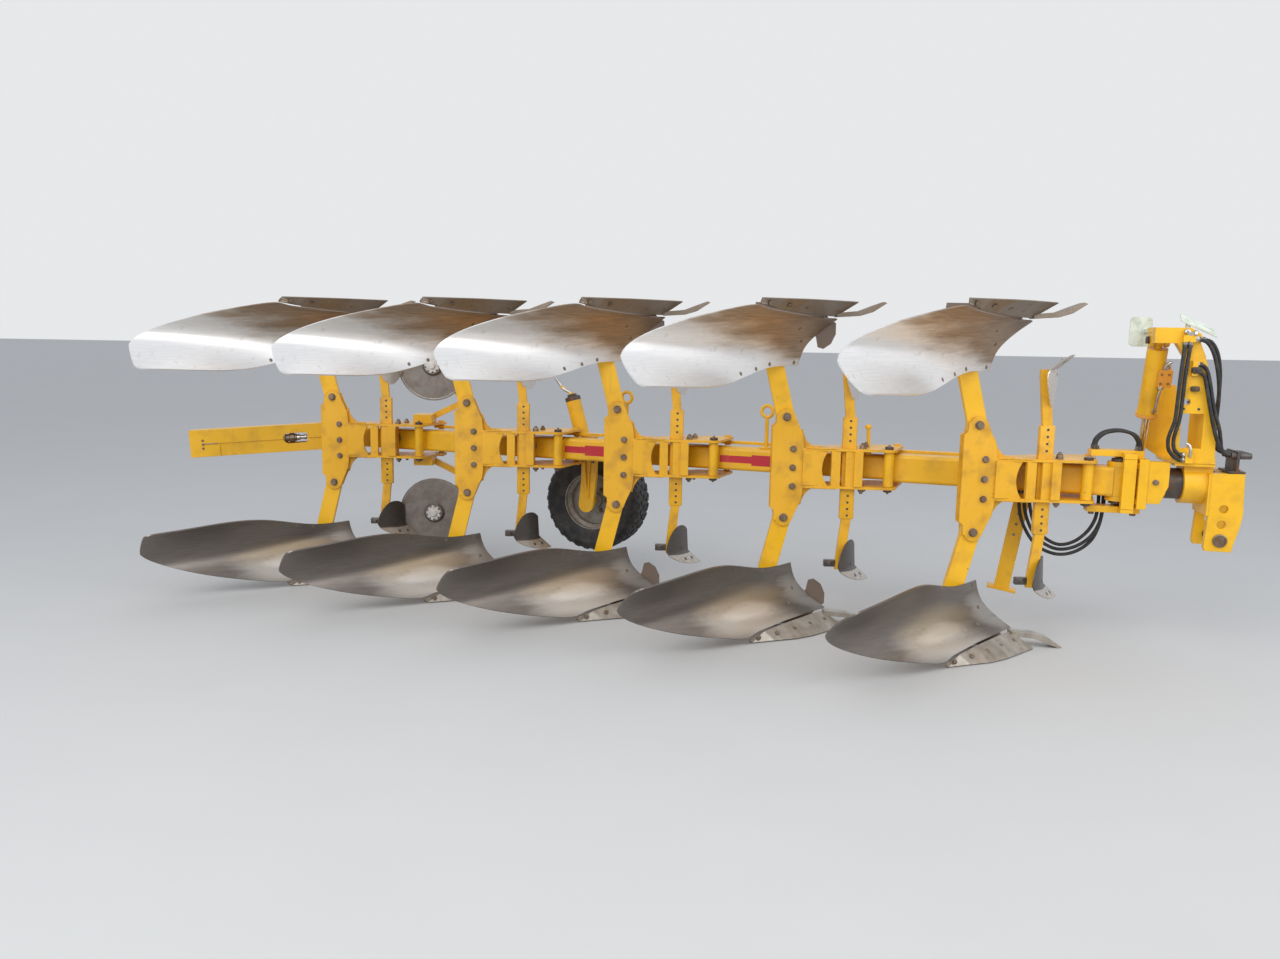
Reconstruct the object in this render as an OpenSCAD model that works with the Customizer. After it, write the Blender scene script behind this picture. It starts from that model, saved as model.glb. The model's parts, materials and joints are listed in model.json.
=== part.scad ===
// Five-furrow mounted reversible plough with variable furrow width.
// Millimetres. +X is the driving direction, +Y the ploughed-land side, +Z up, ground at z = 0.

/* [Layout] */
// Distance between neighbouring bodies along the beam
body_pitch = 985; // [850:5:1100]
// Angle between the beam and the driving direction
beam_angle = 20.5; // [18:0.5:30]
// Angle between the turnover axle and the driving direction
head_angle = 13; // [8:0.5:20]
// Height of the beam's centreline above the ground
beam_height = 895; // [860:5:960]
// Place of the beam's centreline abreast of the first turn pin, ahead of the plan's middle
plan_shift_x = 2280; // [2100:1:2450]
// The same place, sideways of the plan's middle
plan_shift_y = -358; // [-550:1:-250]

/* [Beam] */
// Side of the square beam tube
beam_size = 130; // [110:1:150]
// Wall of the beam tube
beam_wall = 10; // [6:1:16]
// Corner radius of the beam tube
beam_corner = 18; // [14:1:24]
// Height of the reinforced front length of the beam
front_height = 150; // [140:1:165]
// Length of the reinforced front, back from the swing pivot
front_length = 1170; // [900:10:1400]
// Distance from the swing pivot back to the first turn pin
first_pin = 155; // [130:5:240]
// Length of the beam behind the last turn pin
tail_length = 690; // [560:10:760]

/* [Turn brackets] */
// Distance from the turn pin back to the middle of the leg plates
arm_length = 523; // [480:5:600]
// Distance from the turn pin to the middle of the leg plates, across
arm_offset = 45; // [30:1:60]
// Clear distance between beam face and turn pin centre
pin_stand_off = 46; // [42:1:60]
// Diameter of the turn pins
turn_pin_d = 30; // [24:1:36]
// Outside diameter of the turn pin tubes
turn_tube_d = 54; // [50:1:64]
// Half height at which the bracket's outer plates start
plate_level = 95; // [94:1:104]
// Thickness of the bracket's outer plates
plate_t = 14; // [10:1:18]
// Thickness of each leg cheek plate
cheek_t = 14; // [10:1:18]
// Distance from the turn pin to the steering rod's pin
steer_arm = 246; // [235:1:280]
// Lean of that line from straight across the beam, in mid range
steer_lean = 3.35; // [0:0.05:8]
// Diameter of the steering rod's pins
steer_pin_d = 25; // [18:1:28]

/* [Bodies] */
// Thickness of each leg
leg_t = 36; // [28:1:42]
// Width of each leg
leg_w = 98; // [80:1:115]
// Height of the leg pivots above and below the beam's centreline
leg_pivot_z = 275; // [250:5:300]
// Distance of the leg pivots behind the cheek plates' bolts
leg_pivot_x = 34; // [20:1:45]
// Thickness of the mouldboards
board_t = 8; // [6:1:12]
// Sideways place of the shin edge
shin_y = 60; // [50:1:75]
// Angle of the board's lines to the driving direction at the ground
share_angle = 39; // [35:1:43]
// Extra angle of those lines at the wing
wing_twist = 10.5; // [6:0.5:14]
// Thickness of the shares
share_t = 12; // [8:1:16]
// Width of the reversible points
point_w = 62; // [50:1:75]
// Height of the landsides
landside_h = 105; // [80:5:130]

/* [Skimmers] */
// Width of the skimmer holders
holder_w = 76; // [60:1:80]
// Thickness of the skimmer holders
holder_t = 30; // [24:1:34]
// Width of the skimmer stems
stem_w = 50; // [40:1:54]
// Half length of the skimmer holders
holder_half = 278; // [240:2:300]

/* [Wheel] */
// Tyre diameter
tyre_d = 655; // [560:5:680]
// Tyre width
tyre_w = 260; // [200:5:270]
// Rim diameter
rim_d = 370; // [340:5:390]
// Place of the wheel behind the first turn pin, along the beam
wheel_back = 2915; // [2800:1:2950]
// Distance between the beam's centreline and the tyre's near face
wheel_side = 298; // [280:1:330]
// Height of the wheel's centre below the beam's centreline
wheel_drop = 378; // [330:1:400]
// Diameter of the wheel's stub axle
stub_d = 50; // [40:1:56]

/* [Discs] */
// Diameter of the disc coulters
disc_d = 456; // [400:2:500]
// Thickness of the disc coulters
disc_t = 5; // [4:0.5:8]
// Diameter of the disc coulters' stub axles
disc_axle_d = 40; // [30:1:44]

/* [Stand] */
// Width of the stand's channel
stand_w = 80; // [70:1:90]
// Length of the stand below its pivot
stand_length = 548; // [500:1:640]
// Lean of the stand's foot to the rear
stand_lean = 8.5; // [0:0.5:15]

/* [Headstock] */
// Radius of the turnover axle
axle_r = 78; // [60:1:80]
// Clear width between the two headstock plates
head_gap = 160; // [150:5:200]
// Thickness of the headstock plates
head_t = 30; // [24:1:36]
// Diameter of the cross shaft and its three pairs of holes
cross_d = 50; // [40:1:56]
// Diameter of the top link hole
top_link_d = 32; // [25:1:38]
// Diameter of the swing pivot's pin
swing_pin_d = 60; // [50:1:64]
// Height of the turnover cylinder's upper pin above the axle
cylinder_top = 715; // [690:1:740]
// Outside diameter of the turnover cylinder
barrel_d = 96; // [84:1:100]
// Diameter of its piston rod
rod_d = 40; // [30:1:44]

/* [Hidden] */
$fn = 48;
fit = 0.05;
seat = 0.3;

body_count = 5;
last = body_count - 1;
half = beam_size / 2;
ground = -beam_height;
pin_y = -(half + pin_stand_off);
tail_x = -last * body_pitch - tail_length;
plate_top = plate_level + plate_t;
cheek_y = leg_t / 2 + seat;
paint = [0.90, 0.68, 0.08];
steel = [0.62, 0.60, 0.56];
dark = [0.20, 0.20, 0.21];
rubber = [0.08, 0.08, 0.08];

// Places its children in the row's frame when they are drawn along the beam.
// The beam's own frame has its origin on the centreline abreast of the first turn pin.
module on_beam() {
    translate([plan_shift_x, plan_shift_y, beam_height]) rotate([0, 0, -beam_angle]) children();
}

// Places its children at one turn pin, along the beam.
module at_pin(i) {
    translate([-i * body_pitch, pin_y, 0]) children();
}

// Places its children at one body: origin in the middle of the leg plates, X along the driving direction.
module at_body(i) {
    on_beam() at_pin(i) rotate([0, 0, beam_angle]) translate([-arm_length, arm_offset, 0]) children();
}

// Places its children at the swing pivot, X along the turnover axle.
module on_axle() {
    on_beam() translate([first_pin, 0, 0]) rotate([0, 0, beam_angle - head_angle]) children();
}

// Draws its children below and mirrored above the beam.
module both_ways() {
    children();
    mirror([0, 0, 1]) children();
}

// Square with true round corners.
module round_square(w, h, r) {
    square([w - 2 * r, h], center = true);
    square([w, h - 2 * r], center = true);
    for (x = [-1, 1])
        for (y = [-1, 1])
            translate([x * (w / 2 - r), y * (h / 2 - r)]) circle(r);
}

// Square tube along X from x0 to x1.
module tube_x(x0, x1, w, h, r, wall) {
    translate([x0, 0, 0]) rotate([90, 0, 90])
        linear_extrude(x1 - x0) difference() {
            round_square(w, h, r);
            round_square(w - 2 * wall, h - 2 * wall, r - wall * 0.6);
        }
}

// Plate drawn in the XZ plane, lying between y0 and y1.
module plate_xz(y0, y1) {
    translate([0, y1, 0]) rotate([90, 0, 0]) linear_extrude(y1 - y0) children();
}

// Rod between two points.
module rod(a, b, d) {
    v = b - a;
    l = norm(v);
    translate(a) rotate([0, acos(v[2] / l), atan2(v[1], v[0])]) cylinder(h = l, d = d);
}

// Flat bar of width w drawn along a path in a plane.
module flat_bar(path, w) {
    for (k = [0:len(path) - 2]) {
        v = path[k + 1] - path[k];
        translate(path[k]) rotate(atan2(v[1], v[0])) translate([0, -w / 2]) square([norm(v), w]);
    }
    for (k = [1:len(path) - 1]) translate(path[k]) circle(w / 2 + 2);
}

// Shell between a grid of front points and the same grid moved back along its normals.
module shell_grid(front, back) {
    nu = len(front);
    nv = len(front[0]);
    n = nu * nv;
    pts = concat([for (r = front) for (p = r) p], [for (r = back) for (p = r) p]);
    faces = concat(
        [for (i = [0:nu - 2]) for (j = [0:nv - 2]) [i * nv + j, (i + 1) * nv + j, i * nv + j + 1]],
        [for (i = [0:nu - 2]) for (j = [0:nv - 2])
            [(i + 1) * nv + j, (i + 1) * nv + j + 1, i * nv + j + 1]],
        [for (i = [0:nu - 2]) for (j = [0:nv - 2])
            [n + i * nv + j, n + i * nv + j + 1, n + (i + 1) * nv + j]],
        [for (i = [0:nu - 2]) for (j = [0:nv - 2])
            [n + (i + 1) * nv + j, n + i * nv + j + 1, n + (i + 1) * nv + j + 1]],
        [for (i = [0:nu - 2]) [i * nv, n + i * nv, (i + 1) * nv]],
        [for (i = [0:nu - 2]) [(i + 1) * nv, n + i * nv, n + (i + 1) * nv]],
        [for (i = [0:nu - 2]) [i * nv + nv - 1, (i + 1) * nv + nv - 1, n + i * nv + nv - 1]],
        [for (i = [0:nu - 2])
            [(i + 1) * nv + nv - 1, n + (i + 1) * nv + nv - 1, n + i * nv + nv - 1]],
        [for (j = [0:nv - 2]) [j, j + 1, n + j]],
        [for (j = [0:nv - 2]) [j + 1, n + j + 1, n + j]],
        [for (j = [0:nv - 2]) [n - nv + j, 2 * n - nv + j, n - nv + j + 1]],
        [for (j = [0:nv - 2]) [n - nv + j + 1, 2 * n - nv + j, 2 * n - nv + j + 1]]
    );
    polyhedron(pts, faces, convexity = 6);
}

function unit(v) = v / norm(v);
function mix(a, b, k) = a + (b - a) * k;

// Working face of a body: straight level lines that start on the shin and turn outward with height.
// Height is above the ground.
shin_table = [[0, 340], [40, 293], [90, 240], [145, 165], [200, 102], [250, 62], [302, 41], [350, 30],
    [460, 0]];
function line_angle(z) = share_angle + wing_twist * pow(max(z, 0) / 414, 3);
function board_at(t, z) = [
    lookup(z, shin_table) - t * cos(line_angle(z)),
    shin_y - t * sin(line_angle(z)),
    z - beam_height
];
function board_normal(t, z) =
    unit(cross(board_at(t, z + 4) - board_at(t, z - 4), board_at(t + 4, z) - board_at(t - 4, z)));
function behind(t, z, d) = board_at(t, z) - board_normal(t, z) * d;

// Outline of the mouldboard: distance from the shin, height of the lower edge, height of the upper edge.
board_edges = [
    [0, 96, 350], [110, 92, 348], [230, 85, 353], [350, 78, 374], [470, 68, 402], [590, 57, 425],
    [700, 42, 437], [850, 69, 441], [1000, 112, 436], [1120, 160, 431], [1220, 215, 428],
    [1280, 262, 425], [1305, 292, 412]
];
board_rows = 5;
share_bevel = 0.6;
sheet_front = 50;
share_front = 24;
room_edge = 2;

// Outline of the share: cutting edge on the ground and place on the seam line with the mouldboard.
share_edge = [[330, -8], [235, -94], [127, -189], [30, -252], [-95, -297], [-218, -344]];
share_seam = [[40, 85], [150, 83], [280, 76], [410, 68], [550, 56], [690, 38]];

function board_grid(d, grow = 0) = [for (e = board_edges)
    [for (j = [0:board_rows]) behind(e[0], mix(e[1] - grow, e[2] + grow, j / board_rows), d)]];
function share_grid(d) = [for (k = [0:len(share_edge) - 1]) [
    [share_edge[k][0] - 0.5 * d, share_edge[k][1] + 0.5 * d, ground + 6 - 0.4 * d],
    behind(share_seam[k][0], share_seam[k][1] - 3 - share_bevel * d, d)
]];

module mouldboard() {
    shell_grid(board_grid(0), board_grid(board_t));
}

module share_blade() {
    shell_grid(share_grid(0), share_grid(share_t));
}

// Space that the mouldboard fills, with the seat behind it: the leg is cut back to it.
module board_room() {
    shell_grid(board_grid(-sheet_front, room_edge), board_grid(board_t + 2 * seat, room_edge));
}

// The same for the share.
module share_room() {
    shell_grid(share_grid(-share_front), share_grid(share_t + seat));
}

// Reversible point: a flat bar that lies on the share's nose and dips to the ground.
module point_bar() {
    profile = [[219, 85], [346, 76], [414, 55], [488, 6], [470, 0], [410, 22], [340, 50], [219, 62]];
    translate([0, shin_y - 12, ground])
        plate_xz(-point_w / 2, point_w / 2) polygon(profile);
}

module shares_at(i) {
    color(steel) at_body(i) both_ways() {
        share_blade();
        point_bar();
    }
}

module boards_at(i) {
    color([0.60, 0.57, 0.52]) at_body(i) both_ways() mouldboard();
}

// Leg outline in the XZ plane: a straight leg and, from its knee down, the frog behind the mouldboard.
leg_top = 205;
knee_level = 355;
knee_x = -104;
frog_top = 295;
landside_back = -215;
landside_front = 146;
landside_lift = 12;
landside_t = 16;
module leg_outline() {
    front = leg_w / 2;
    polygon([
        [-leg_pivot_x - front + 4, -leg_top], [-leg_pivot_x + front, -leg_top],
        [-leg_pivot_x + front - 10, -leg_top - 95], [knee_x + front, ground + knee_level],
        [knee_x - 8 + front, ground + frog_top], [30, ground + frog_top - 40],
        [100, ground + 170], [150, ground + 100], [150, ground + 72], [215, ground + 27],
        [landside_back - 10, ground + 27],
        [landside_back, ground + 135], [-175, ground + 245], [knee_x - front, ground + knee_level],
        [-leg_pivot_x - front - 10, -leg_top - 95]
    ]);
}

// Fin that cuts the land beside the point. Only the second and third bodies carry one.
fin_bodies = [1, 2];
fin_y = shin_y + 12;
fin_t = 12;
module fin() {
    plate_xz(fin_y, fin_y + fin_t) translate([0, ground]) polygon([
        [20, 35], [150, 35], [190, 95], [228, 115], [229, 175], [205, 227], [165, 255], [135, 247],
        [124, 195], [95, 143], [20, 105]
    ]);
    translate([20, leg_t / 2 + 10 + landside_t - 1, ground + 40])
        cube([90, fin_y - leg_t / 2 - 10 - landside_t + 2, 60]);
}

// Stay from the frog to the wing of the mouldboard.
stay_d = 30;
stay_reach = 700;
stay_level = 240;
module legs_at(i) {
    color(paint) at_body(i) both_ways() {
        difference() {
            union() {
                plate_xz(-leg_t / 2, leg_t / 2) leg_outline();
                rod([-170, 0, ground + stay_level - 10],
                    behind(stay_reach, stay_level, board_t + stay_d / 2 - 3), stay_d);
            }
            board_room();
            share_room();
        }
        translate([landside_back, leg_t / 2, ground + landside_lift])
            cube([landside_front - 50 - landside_back, 26, landside_t]);
        translate([landside_back, leg_t / 2 + 10, ground + landside_lift])
            cube([landside_front - landside_back, landside_t, landside_h]);
        translate([-190, leg_t / 2 - 1, ground + 60]) cube([150, 12, 50]);
        if (len(search(i, fin_bodies)) > 0) fin();
    }
}

// Cheek plates: straight rear edge, bulging front edge, tongues round the leg pivots.
module cheek_outline() {
    polygon([
        [-108, -222], [-108, 222], [-88, 238], [-86, 290], [8, 296], [32, 236], [58, 180], [65, 120],
        [65, -120], [58, -180], [32, -236], [8, -296], [-86, -290], [-88, -238]
    ]);
    for (z = [-1, 1]) translate([-leg_pivot_x, z * leg_pivot_z]) circle(46);
}

// Bracket plate seen from above, with a true round at the turn pin and at the steering pin.
steer_at = [
    arm_length + steer_arm * sin(beam_angle + steer_lean),
    -arm_offset + steer_arm * cos(beam_angle + steer_lean)
];
turn_boss_r = 42;
steer_boss_r = 34;
skimmer_x = 310;
skimmer_y = -20;
holder_gap = seat;
module bracket_plan() {
    difference() {
        union() {
            polygon([
                [50, -cheek_y - cheek_t], [250, -60], [arm_length, -arm_offset - turn_boss_r],
                [arm_length + turn_boss_r, -arm_offset], steer_at + [steer_boss_r, 0],
                steer_at + [0, steer_boss_r], [arm_length - 60, 215], [200, 130], [50, cheek_y + cheek_t]
            ]);
            translate([arm_length, -arm_offset]) circle(turn_boss_r);
            translate(steer_at) circle(steer_boss_r);
        }
        translate([arm_length, -arm_offset]) circle(turn_pin_d / 2 + fit);
        translate([skimmer_x, skimmer_y]) square([holder_w, holder_t] + [2, 2] * holder_gap, center = true);
    }
}

module bracket_at(i) {
    color(paint) at_body(i) {
        for (y = [-cheek_y - cheek_t, cheek_y]) plate_xz(y, y + cheek_t) cheek_outline();
        plate_xz(-cheek_y, cheek_y) translate([-100, -190]) square([160, 380]);
        for (z = [-plate_top, plate_level]) translate([0, 0, z]) linear_extrude(plate_t) bracket_plan();
        both_ways() plate_xz(-6, 6) difference() {
            translate([50, plate_level]) square([120, 110]);
            translate([182, plate_level + 124]) circle(122);
        }
        plate_xz(-44, -30) difference() {
            translate([60, -plate_level]) square([153, 2 * plate_level]);
            translate([327, 0]) circle(162);
        }
        both_ways() translate([steer_at[0], steer_at[1], steer_level - 2]) {
            translate([0, 0, -7]) cylinder(h = plate_top - steer_level + 13, d = steer_pin_d);
            translate([0, 0, -7]) cylinder(h = 9 - seat, d = steer_pin_d + 13);
            translate([0, 0, 2 + steer_bar_t + seat])
                cylinder(h = plate_level - steer_level - steer_bar_t, d = steer_pin_d + 13);
            translate([0, 0, plate_top - steer_level + 2]) cylinder(h = 9, d = steer_pin_d + 13);
        }
        translate([213, -56, -plate_level]) cube([48, 26, 2 * plate_level]);
        translate([288, -62, -plate_level]) cube([90, 24, 2 * plate_level]);
        translate([332, -78, -plate_level]) cube([46, 20, 2 * plate_level]);
        translate([288, 2, -plate_level]) cube([90, 20, 2 * plate_level]);
    }
}

// Skimmer board: a small curved sheet that turns the sod, with its share reaching forward below it.
skim_cols = 6;
skim_rows = 5;
skim_t = 6;
skim_front = 400;
skim_back = 165;
skim_low = -632;
skim_high = -458;
function skim_point(u, v) = [
    mix(skim_front, skim_back, u) + 26 * sin(180 * u) - 10 * v * (1 - u) + 75 * max(0, 1 - v / 0.4) * (1 - u),
    mix(95, -185, u) - 18 * sin(180 * u),
    mix(skim_low, skim_high, v) + (90 * (1 - v) - 62 * v) * u * u
];
function skim_normal(u, v) = unit(cross(
    skim_point(u, v + 0.01) - skim_point(u, v - 0.01), skim_point(u + 0.01, v) - skim_point(u - 0.01, v)));
function skim_grid(d) = [for (i = [0:skim_cols]) [for (j = [0:skim_rows])
    skim_point(i / skim_cols, j / skim_rows) - d * skim_normal(i / skim_cols, j / skim_rows)]];

stem_top = 275;
stem_end = 520;
stem_lean = -26;
stem_t = 24;
module skimmers_at(i) {
    color(paint) at_body(i) {
        translate([skimmer_x, skimmer_y, 0]) {
            cube([holder_w, holder_t, 2 * holder_half], center = true);
            both_ways() plate_xz(-stem_t / 2, stem_t / 2) polygon([
                [-stem_w / 2, -stem_top], [stem_w / 2, -stem_top], [stem_w / 2 + stem_lean, -stem_end],
                [stem_w / 2 + 10, -stem_end - 42], [-stem_w / 2 + stem_lean, -stem_end - 42],
                [-stem_w / 2 + stem_lean, -stem_end]
            ]);
        }
        both_ways() shell_grid(skim_grid(0), skim_grid(skim_t));
    }
}

// Front end of the beam: a knuckle round the swing pivot.
knuckle_r = 58;
knuckle_back = 30;
cap_t = 18;
flange = 12;
hose_pad_low = -60;
module beam() {
    color(paint) on_beam() {
        difference() {
            union() {
                tube_x(tail_x, first_pin - front_length + 0.01, beam_size, beam_size, beam_corner, beam_wall);
                tube_x(first_pin - front_length, first_pin - knuckle_back,
                    beam_size, front_height, beam_corner, beam_wall);
                translate([first_pin, 0, -front_height / 2]) cylinder(h = front_height, r = knuckle_r);
                translate([first_pin - knuckle_r, -knuckle_r, -front_height / 2])
                    cube([knuckle_r, 2 * knuckle_r, front_height]);
            }
            translate([first_pin, 0, -front_height])
                cylinder(h = 2 * front_height, d = swing_pin_d + 2 * fit);
        }
        translate([tail_x - cap_t, -half - flange, -half - flange])
            cube([cap_t, beam_size + 2 * flange, beam_size + 2 * flange]);
        translate([60, half - 1, hose_pad_low]) cube([50, 56, 40]);
        for (i = [0:last]) at_pin(i) difference() {
            union() {
                translate([0, 0, 1 - plate_level]) cylinder(h = 2 * plate_level - 2, d = turn_tube_d);
                translate([-20, 0, -60]) cube([40, pin_stand_off + 0.5, 120]);
            }
            translate([0, 0, -plate_top]) cylinder(h = 2 * plate_top, d = turn_pin_d + 2 * fit);
        }
        difference() {
            union() {
                translate([stand_x - 42, half - 0.5, -carrier_h / 2]) cube([84, carrier_y - half, carrier_h]);
                translate([0, carrier_y - hanger_t, 0]) rotate([-90, 0, 0]) linear_extrude(hanger_t) {
                    translate([stand_x - 45, -60]) square([90, 60 - stand_z]);
                    translate([stand_x, -stand_z]) circle(45);
                }
            }
            translate([stand_x, 0, stand_z]) rotate([-90, 0, 0])
                cylinder(h = carrier_y + 1, d = stand_pin_d + 2 * fit);
        }
    }
}

module turn_pins() {
    color(dark) on_beam() for (i = [0:last]) at_pin(i) {
        translate([0, 0, -plate_top - 1]) cylinder(h = 2 * plate_top + 2, d = turn_pin_d);
        for (z = [-plate_top - 13, plate_top + 1]) translate([0, 0, z]) cylinder(h = 12, d = turn_pin_d + 16);
    }
}

// Steering rod on the land side, two flat bars that keep the five brackets parallel.
steer_y = pin_y + steer_arm * cos(steer_lean);
steer_x = steer_arm * sin(steer_lean);
steer_level = 70;
steer_bar_t = 16;
steer_bar_w = 50;
steer_end = 40;
steer_play = 1.3;
module steering_rod() {
    color(paint) on_beam() translate([steer_x, steer_y, 0]) {
        both_ways() translate([0, 0, steer_level]) linear_extrude(steer_bar_t) difference() {
            translate([-last * body_pitch - steer_end, -steer_bar_w / 2])
                square([last * body_pitch + 2 * steer_end, steer_bar_w]);
            for (i = [0:last]) translate([-i * body_pitch, 0]) circle(steer_pin_d / 2 + steer_play);
        }
        for (i = [0:last - 1])
            translate([-(i + 0.5) * body_pitch, 0, 0])
                cube([40, 40, 2 * steer_level + 2], center = true);
    }
}

rear_angle = 34;
rear_droop = 3.4;
rear_length = 917;
rear_h = 176;
rear_w = 100;
rear_wall = 10;
lip_t = 6;
lip_level = -4;
end_plate_l = 182;
slot_front = -173;
slot_back = -338;
slot_r = 34;
module rear_arm() {
    color(paint) on_beam() translate([tail_x - cap_t - seat, 0, 0]) difference() {
        union() {
            translate([-14, -half - flange, -half - flange])
                cube([14, beam_size + 2 * flange, beam_size + 2 * flange]);
            translate([-4, -14, 0]) rotate([0, -rear_droop, rear_angle])
                translate([-rear_length, -rear_w / 2, -rear_h / 2]) {
                    cube([rear_length + 60, rear_w, rear_h]);
                    translate([0, -lip_t, 0]) cube([end_plate_l, lip_t + 1, rear_h]);
                    translate([end_plate_l - 1, -lip_t, rear_h / 2 + lip_level])
                        cube([rear_length - end_plate_l + 60, lip_t + 1, rear_h / 2 - lip_level]);
                }
        }
        translate([-4, -14, 0]) rotate([0, -rear_droop, rear_angle]) {
            translate([rear_wall - rear_length, rear_wall - rear_w / 2, rear_wall - rear_h / 2])
                cube([rear_length - 120, rear_w - 2 * rear_wall, rear_h - 2 * rear_wall]);
            plate_xz(-rear_w, rear_w) {
                for (x = [slot_front - slot_r, slot_back + slot_r]) translate([x, 0]) circle(slot_r);
                translate([slot_back + slot_r, -slot_r])
                    square([slot_front - slot_back - 2 * slot_r, 2 * slot_r]);
            }
        }
        translate([0, -rear_h, -rear_h]) cube(2 * rear_h);
    }
}

// Disc coulters of the rear body. Their cranked arms are clamped on that body's turn bracket.
disc_x = 585;
disc_y = 112;
disc_low = -489;
disc_high = 482;
hub_w = 44;
disc_arm_d = 38;
disc_arm_y = disc_y + hub_w / 2 + 6 + disc_arm_d / 2;
module disc_arm(side, z) {
    path = [[560, plate_top + 30], [790, 250], [disc_x, z]];
    end = disc_arm_y - disc_y;
    mirror([0, 0, side]) {
        plate_xz(disc_arm_y - disc_arm_d / 2, disc_arm_y + disc_arm_d / 2) flat_bar(path, disc_arm_d);
        translate([470, 30, plate_top + seat]) cube([120, disc_arm_y + disc_arm_d / 2 - 30, 56]);
        translate([disc_x, disc_arm_y, z]) rotate([90, 0, 0]) {
            translate([0, 0, -30]) cylinder(h = end + hub_w / 2 + 30, d = disc_axle_d);
            translate([0, 0, -25]) cylinder(h = end - hub_w / 2 - seat + 25, d = disc_axle_d + 16);
        }
    }
}

module disc_arms() {
    color(paint) at_body(last) {
        disc_arm(0, disc_high);
        disc_arm(1, -disc_low);
    }
}

module disc_at(z) {
    at_body(last) translate([disc_x, disc_y, z]) rotate([90, 0, 0]) difference() {
        union() {
            cylinder(h = disc_t, d = disc_d, center = true);
            cylinder(h = hub_w, d = 110, center = true);
        }
        cylinder(h = hub_w + 2, d = disc_axle_d + 2 * fit, center = true);
    }
}

module disc_lower() {
    color(steel) disc_at(disc_low);
}

module disc_upper() {
    color(steel) disc_at(disc_high);
}

// Depth wheel on the land side of the beam.
carrier_y = 182;
carrier_h = 110;
arm_t = 30;
wheel_x = -wheel_back;
arm_top_x = wheel_x + 37;
module wheel_arm() {
    hub_x = wheel_x + 20;
    color(paint) on_beam() {
        translate([arm_top_x - 48, half + seat, -carrier_h / 2]) cube([96, carrier_y - half, carrier_h]);
        translate([arm_top_x - 90, half + seat, -62]) cube([180, 14, 124]);
        translate([0, carrier_y + arm_t, 0]) rotate([90, 0, 0]) linear_extrude(arm_t) {
            polygon([[arm_top_x - 52, 59], [arm_top_x + 52, 59], [arm_top_x + 50, -200],
                [hub_x + 50, -wheel_drop], [hub_x - 50, -wheel_drop], [arm_top_x - 50, -200]]);
            translate([hub_x, -wheel_drop]) circle(50);
        }
        translate([wheel_x, carrier_y + 1, -wheel_drop]) rotate([-90, 0, 0])
            cylinder(h = wheel_side - carrier_y + 150, d = stub_d);
        translate([wheel_x - 70, carrier_y + arm_t - 4, shelf_level]) cube([90, 60, shelf_t]);
    }
}

// Screw that sets the wheel's height: dust tube, spindle and crank.
adjuster_y = carrier_y + arm_t + 26;
adjuster_d = 96;
adjuster_lean = atan2(71, 242);
shelf_level = 5;
shelf_t = 36;
module wheel_adjuster() {
    low = [wheel_x - 32, adjuster_y, shelf_level + shelf_t + seat + adjuster_d / 2 * sin(adjuster_lean)];
    top = low + [-71, 0, 242];
    color(paint) on_beam() {
        lift = unit(top - low);
        elbow = top + [-76, 0, 66];
        rod(low, top, adjuster_d);
        rod(top - 20 * lift, top + 34 * lift, 30);
        rod(top + 22 * lift, elbow, 16);
        translate(elbow) sphere(d = 22);
        rod(elbow, elbow + [-36, 0, 46], 16);
    }
}

tyre_wall = 26;
module wheel_tyre() {
    shoulder = 34;
    r = tyre_d / 2;
    color(rubber) on_beam() translate([wheel_x, wheel_side, -wheel_drop]) rotate([-90, 0, 0])
        rotate_extrude($fn = 72) difference() {
            polygon([[rim_d / 2, 12], [r - shoulder * 2, 0], [r - shoulder, 6], [r - 8, shoulder],
                [r, shoulder + 30], [r, tyre_w - shoulder - 30], [r - 8, tyre_w - shoulder],
                [r - shoulder, tyre_w - 6],
                [r - shoulder * 2, tyre_w], [rim_d / 2, tyre_w - 12]]);
            polygon([[0, 40], [r - 60, 24], [r - tyre_wall, shoulder + 32],
                [r - tyre_wall, tyre_w - shoulder - 32], [r - 60, tyre_w - 24], [0, tyre_w - 40]]);
        }
}

hub_wall = 26;
hub_l = 90;
rim_disc_t = 10;
module wheel_rim() {
    r = rim_d / 2 - seat;
    color([0.66, 0.65, 0.62]) on_beam() translate([wheel_x, wheel_side, -wheel_drop]) rotate([-90, 0, 0]) {
        rotate_extrude($fn = 72) {
            polygon([[r, 12], [r, 40], [r - 20, 52], [r - 20, tyre_w - 52], [r, tyre_w - 40],
                [r, tyre_w - 12], [r - 6, tyre_w - 12], [r - 6, tyre_w - 42], [r - 28, tyre_w - 56],
                [r - 28, 56], [r - 6, 42], [r - 6, 12]]);
            translate([stub_d / 2 + fit, 60]) square([hub_wall, hub_l]);
            translate([stub_d / 2 + hub_wall - 6, 96]) square([r - hub_wall - stub_d / 2 - 18, rim_disc_t]);
        }
    }
}

// Parking stand, a channel that hangs from its pivot beside the beam.
stand_x = -292;
stand_z = -118;
stand_d = 52;
hanger_t = 14;
stand_pin_d = 30;
module stand() {
    wall = 7;
    color(paint) on_beam() translate([stand_x, carrier_y, stand_z]) {
        translate([0, -hanger_t - 6, 0]) rotate([-90, 0, 0]) cylinder(h = hanger_t + 12, d = stand_pin_d);
        rotate([0, stand_lean, 0]) {
            translate([-stand_w / 2, 5, -stand_length]) difference() {
                cube([stand_w, stand_d, stand_length + 45]);
                translate([wall, wall, -1]) cube([stand_w - 2 * wall, stand_d, stand_length + 50]);
            }
            translate([-stand_w / 2 - 36, -8, -stand_length - 12]) cube([stand_w + 72, stand_d + 26, 12.5]);
        }
    }
}

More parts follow.
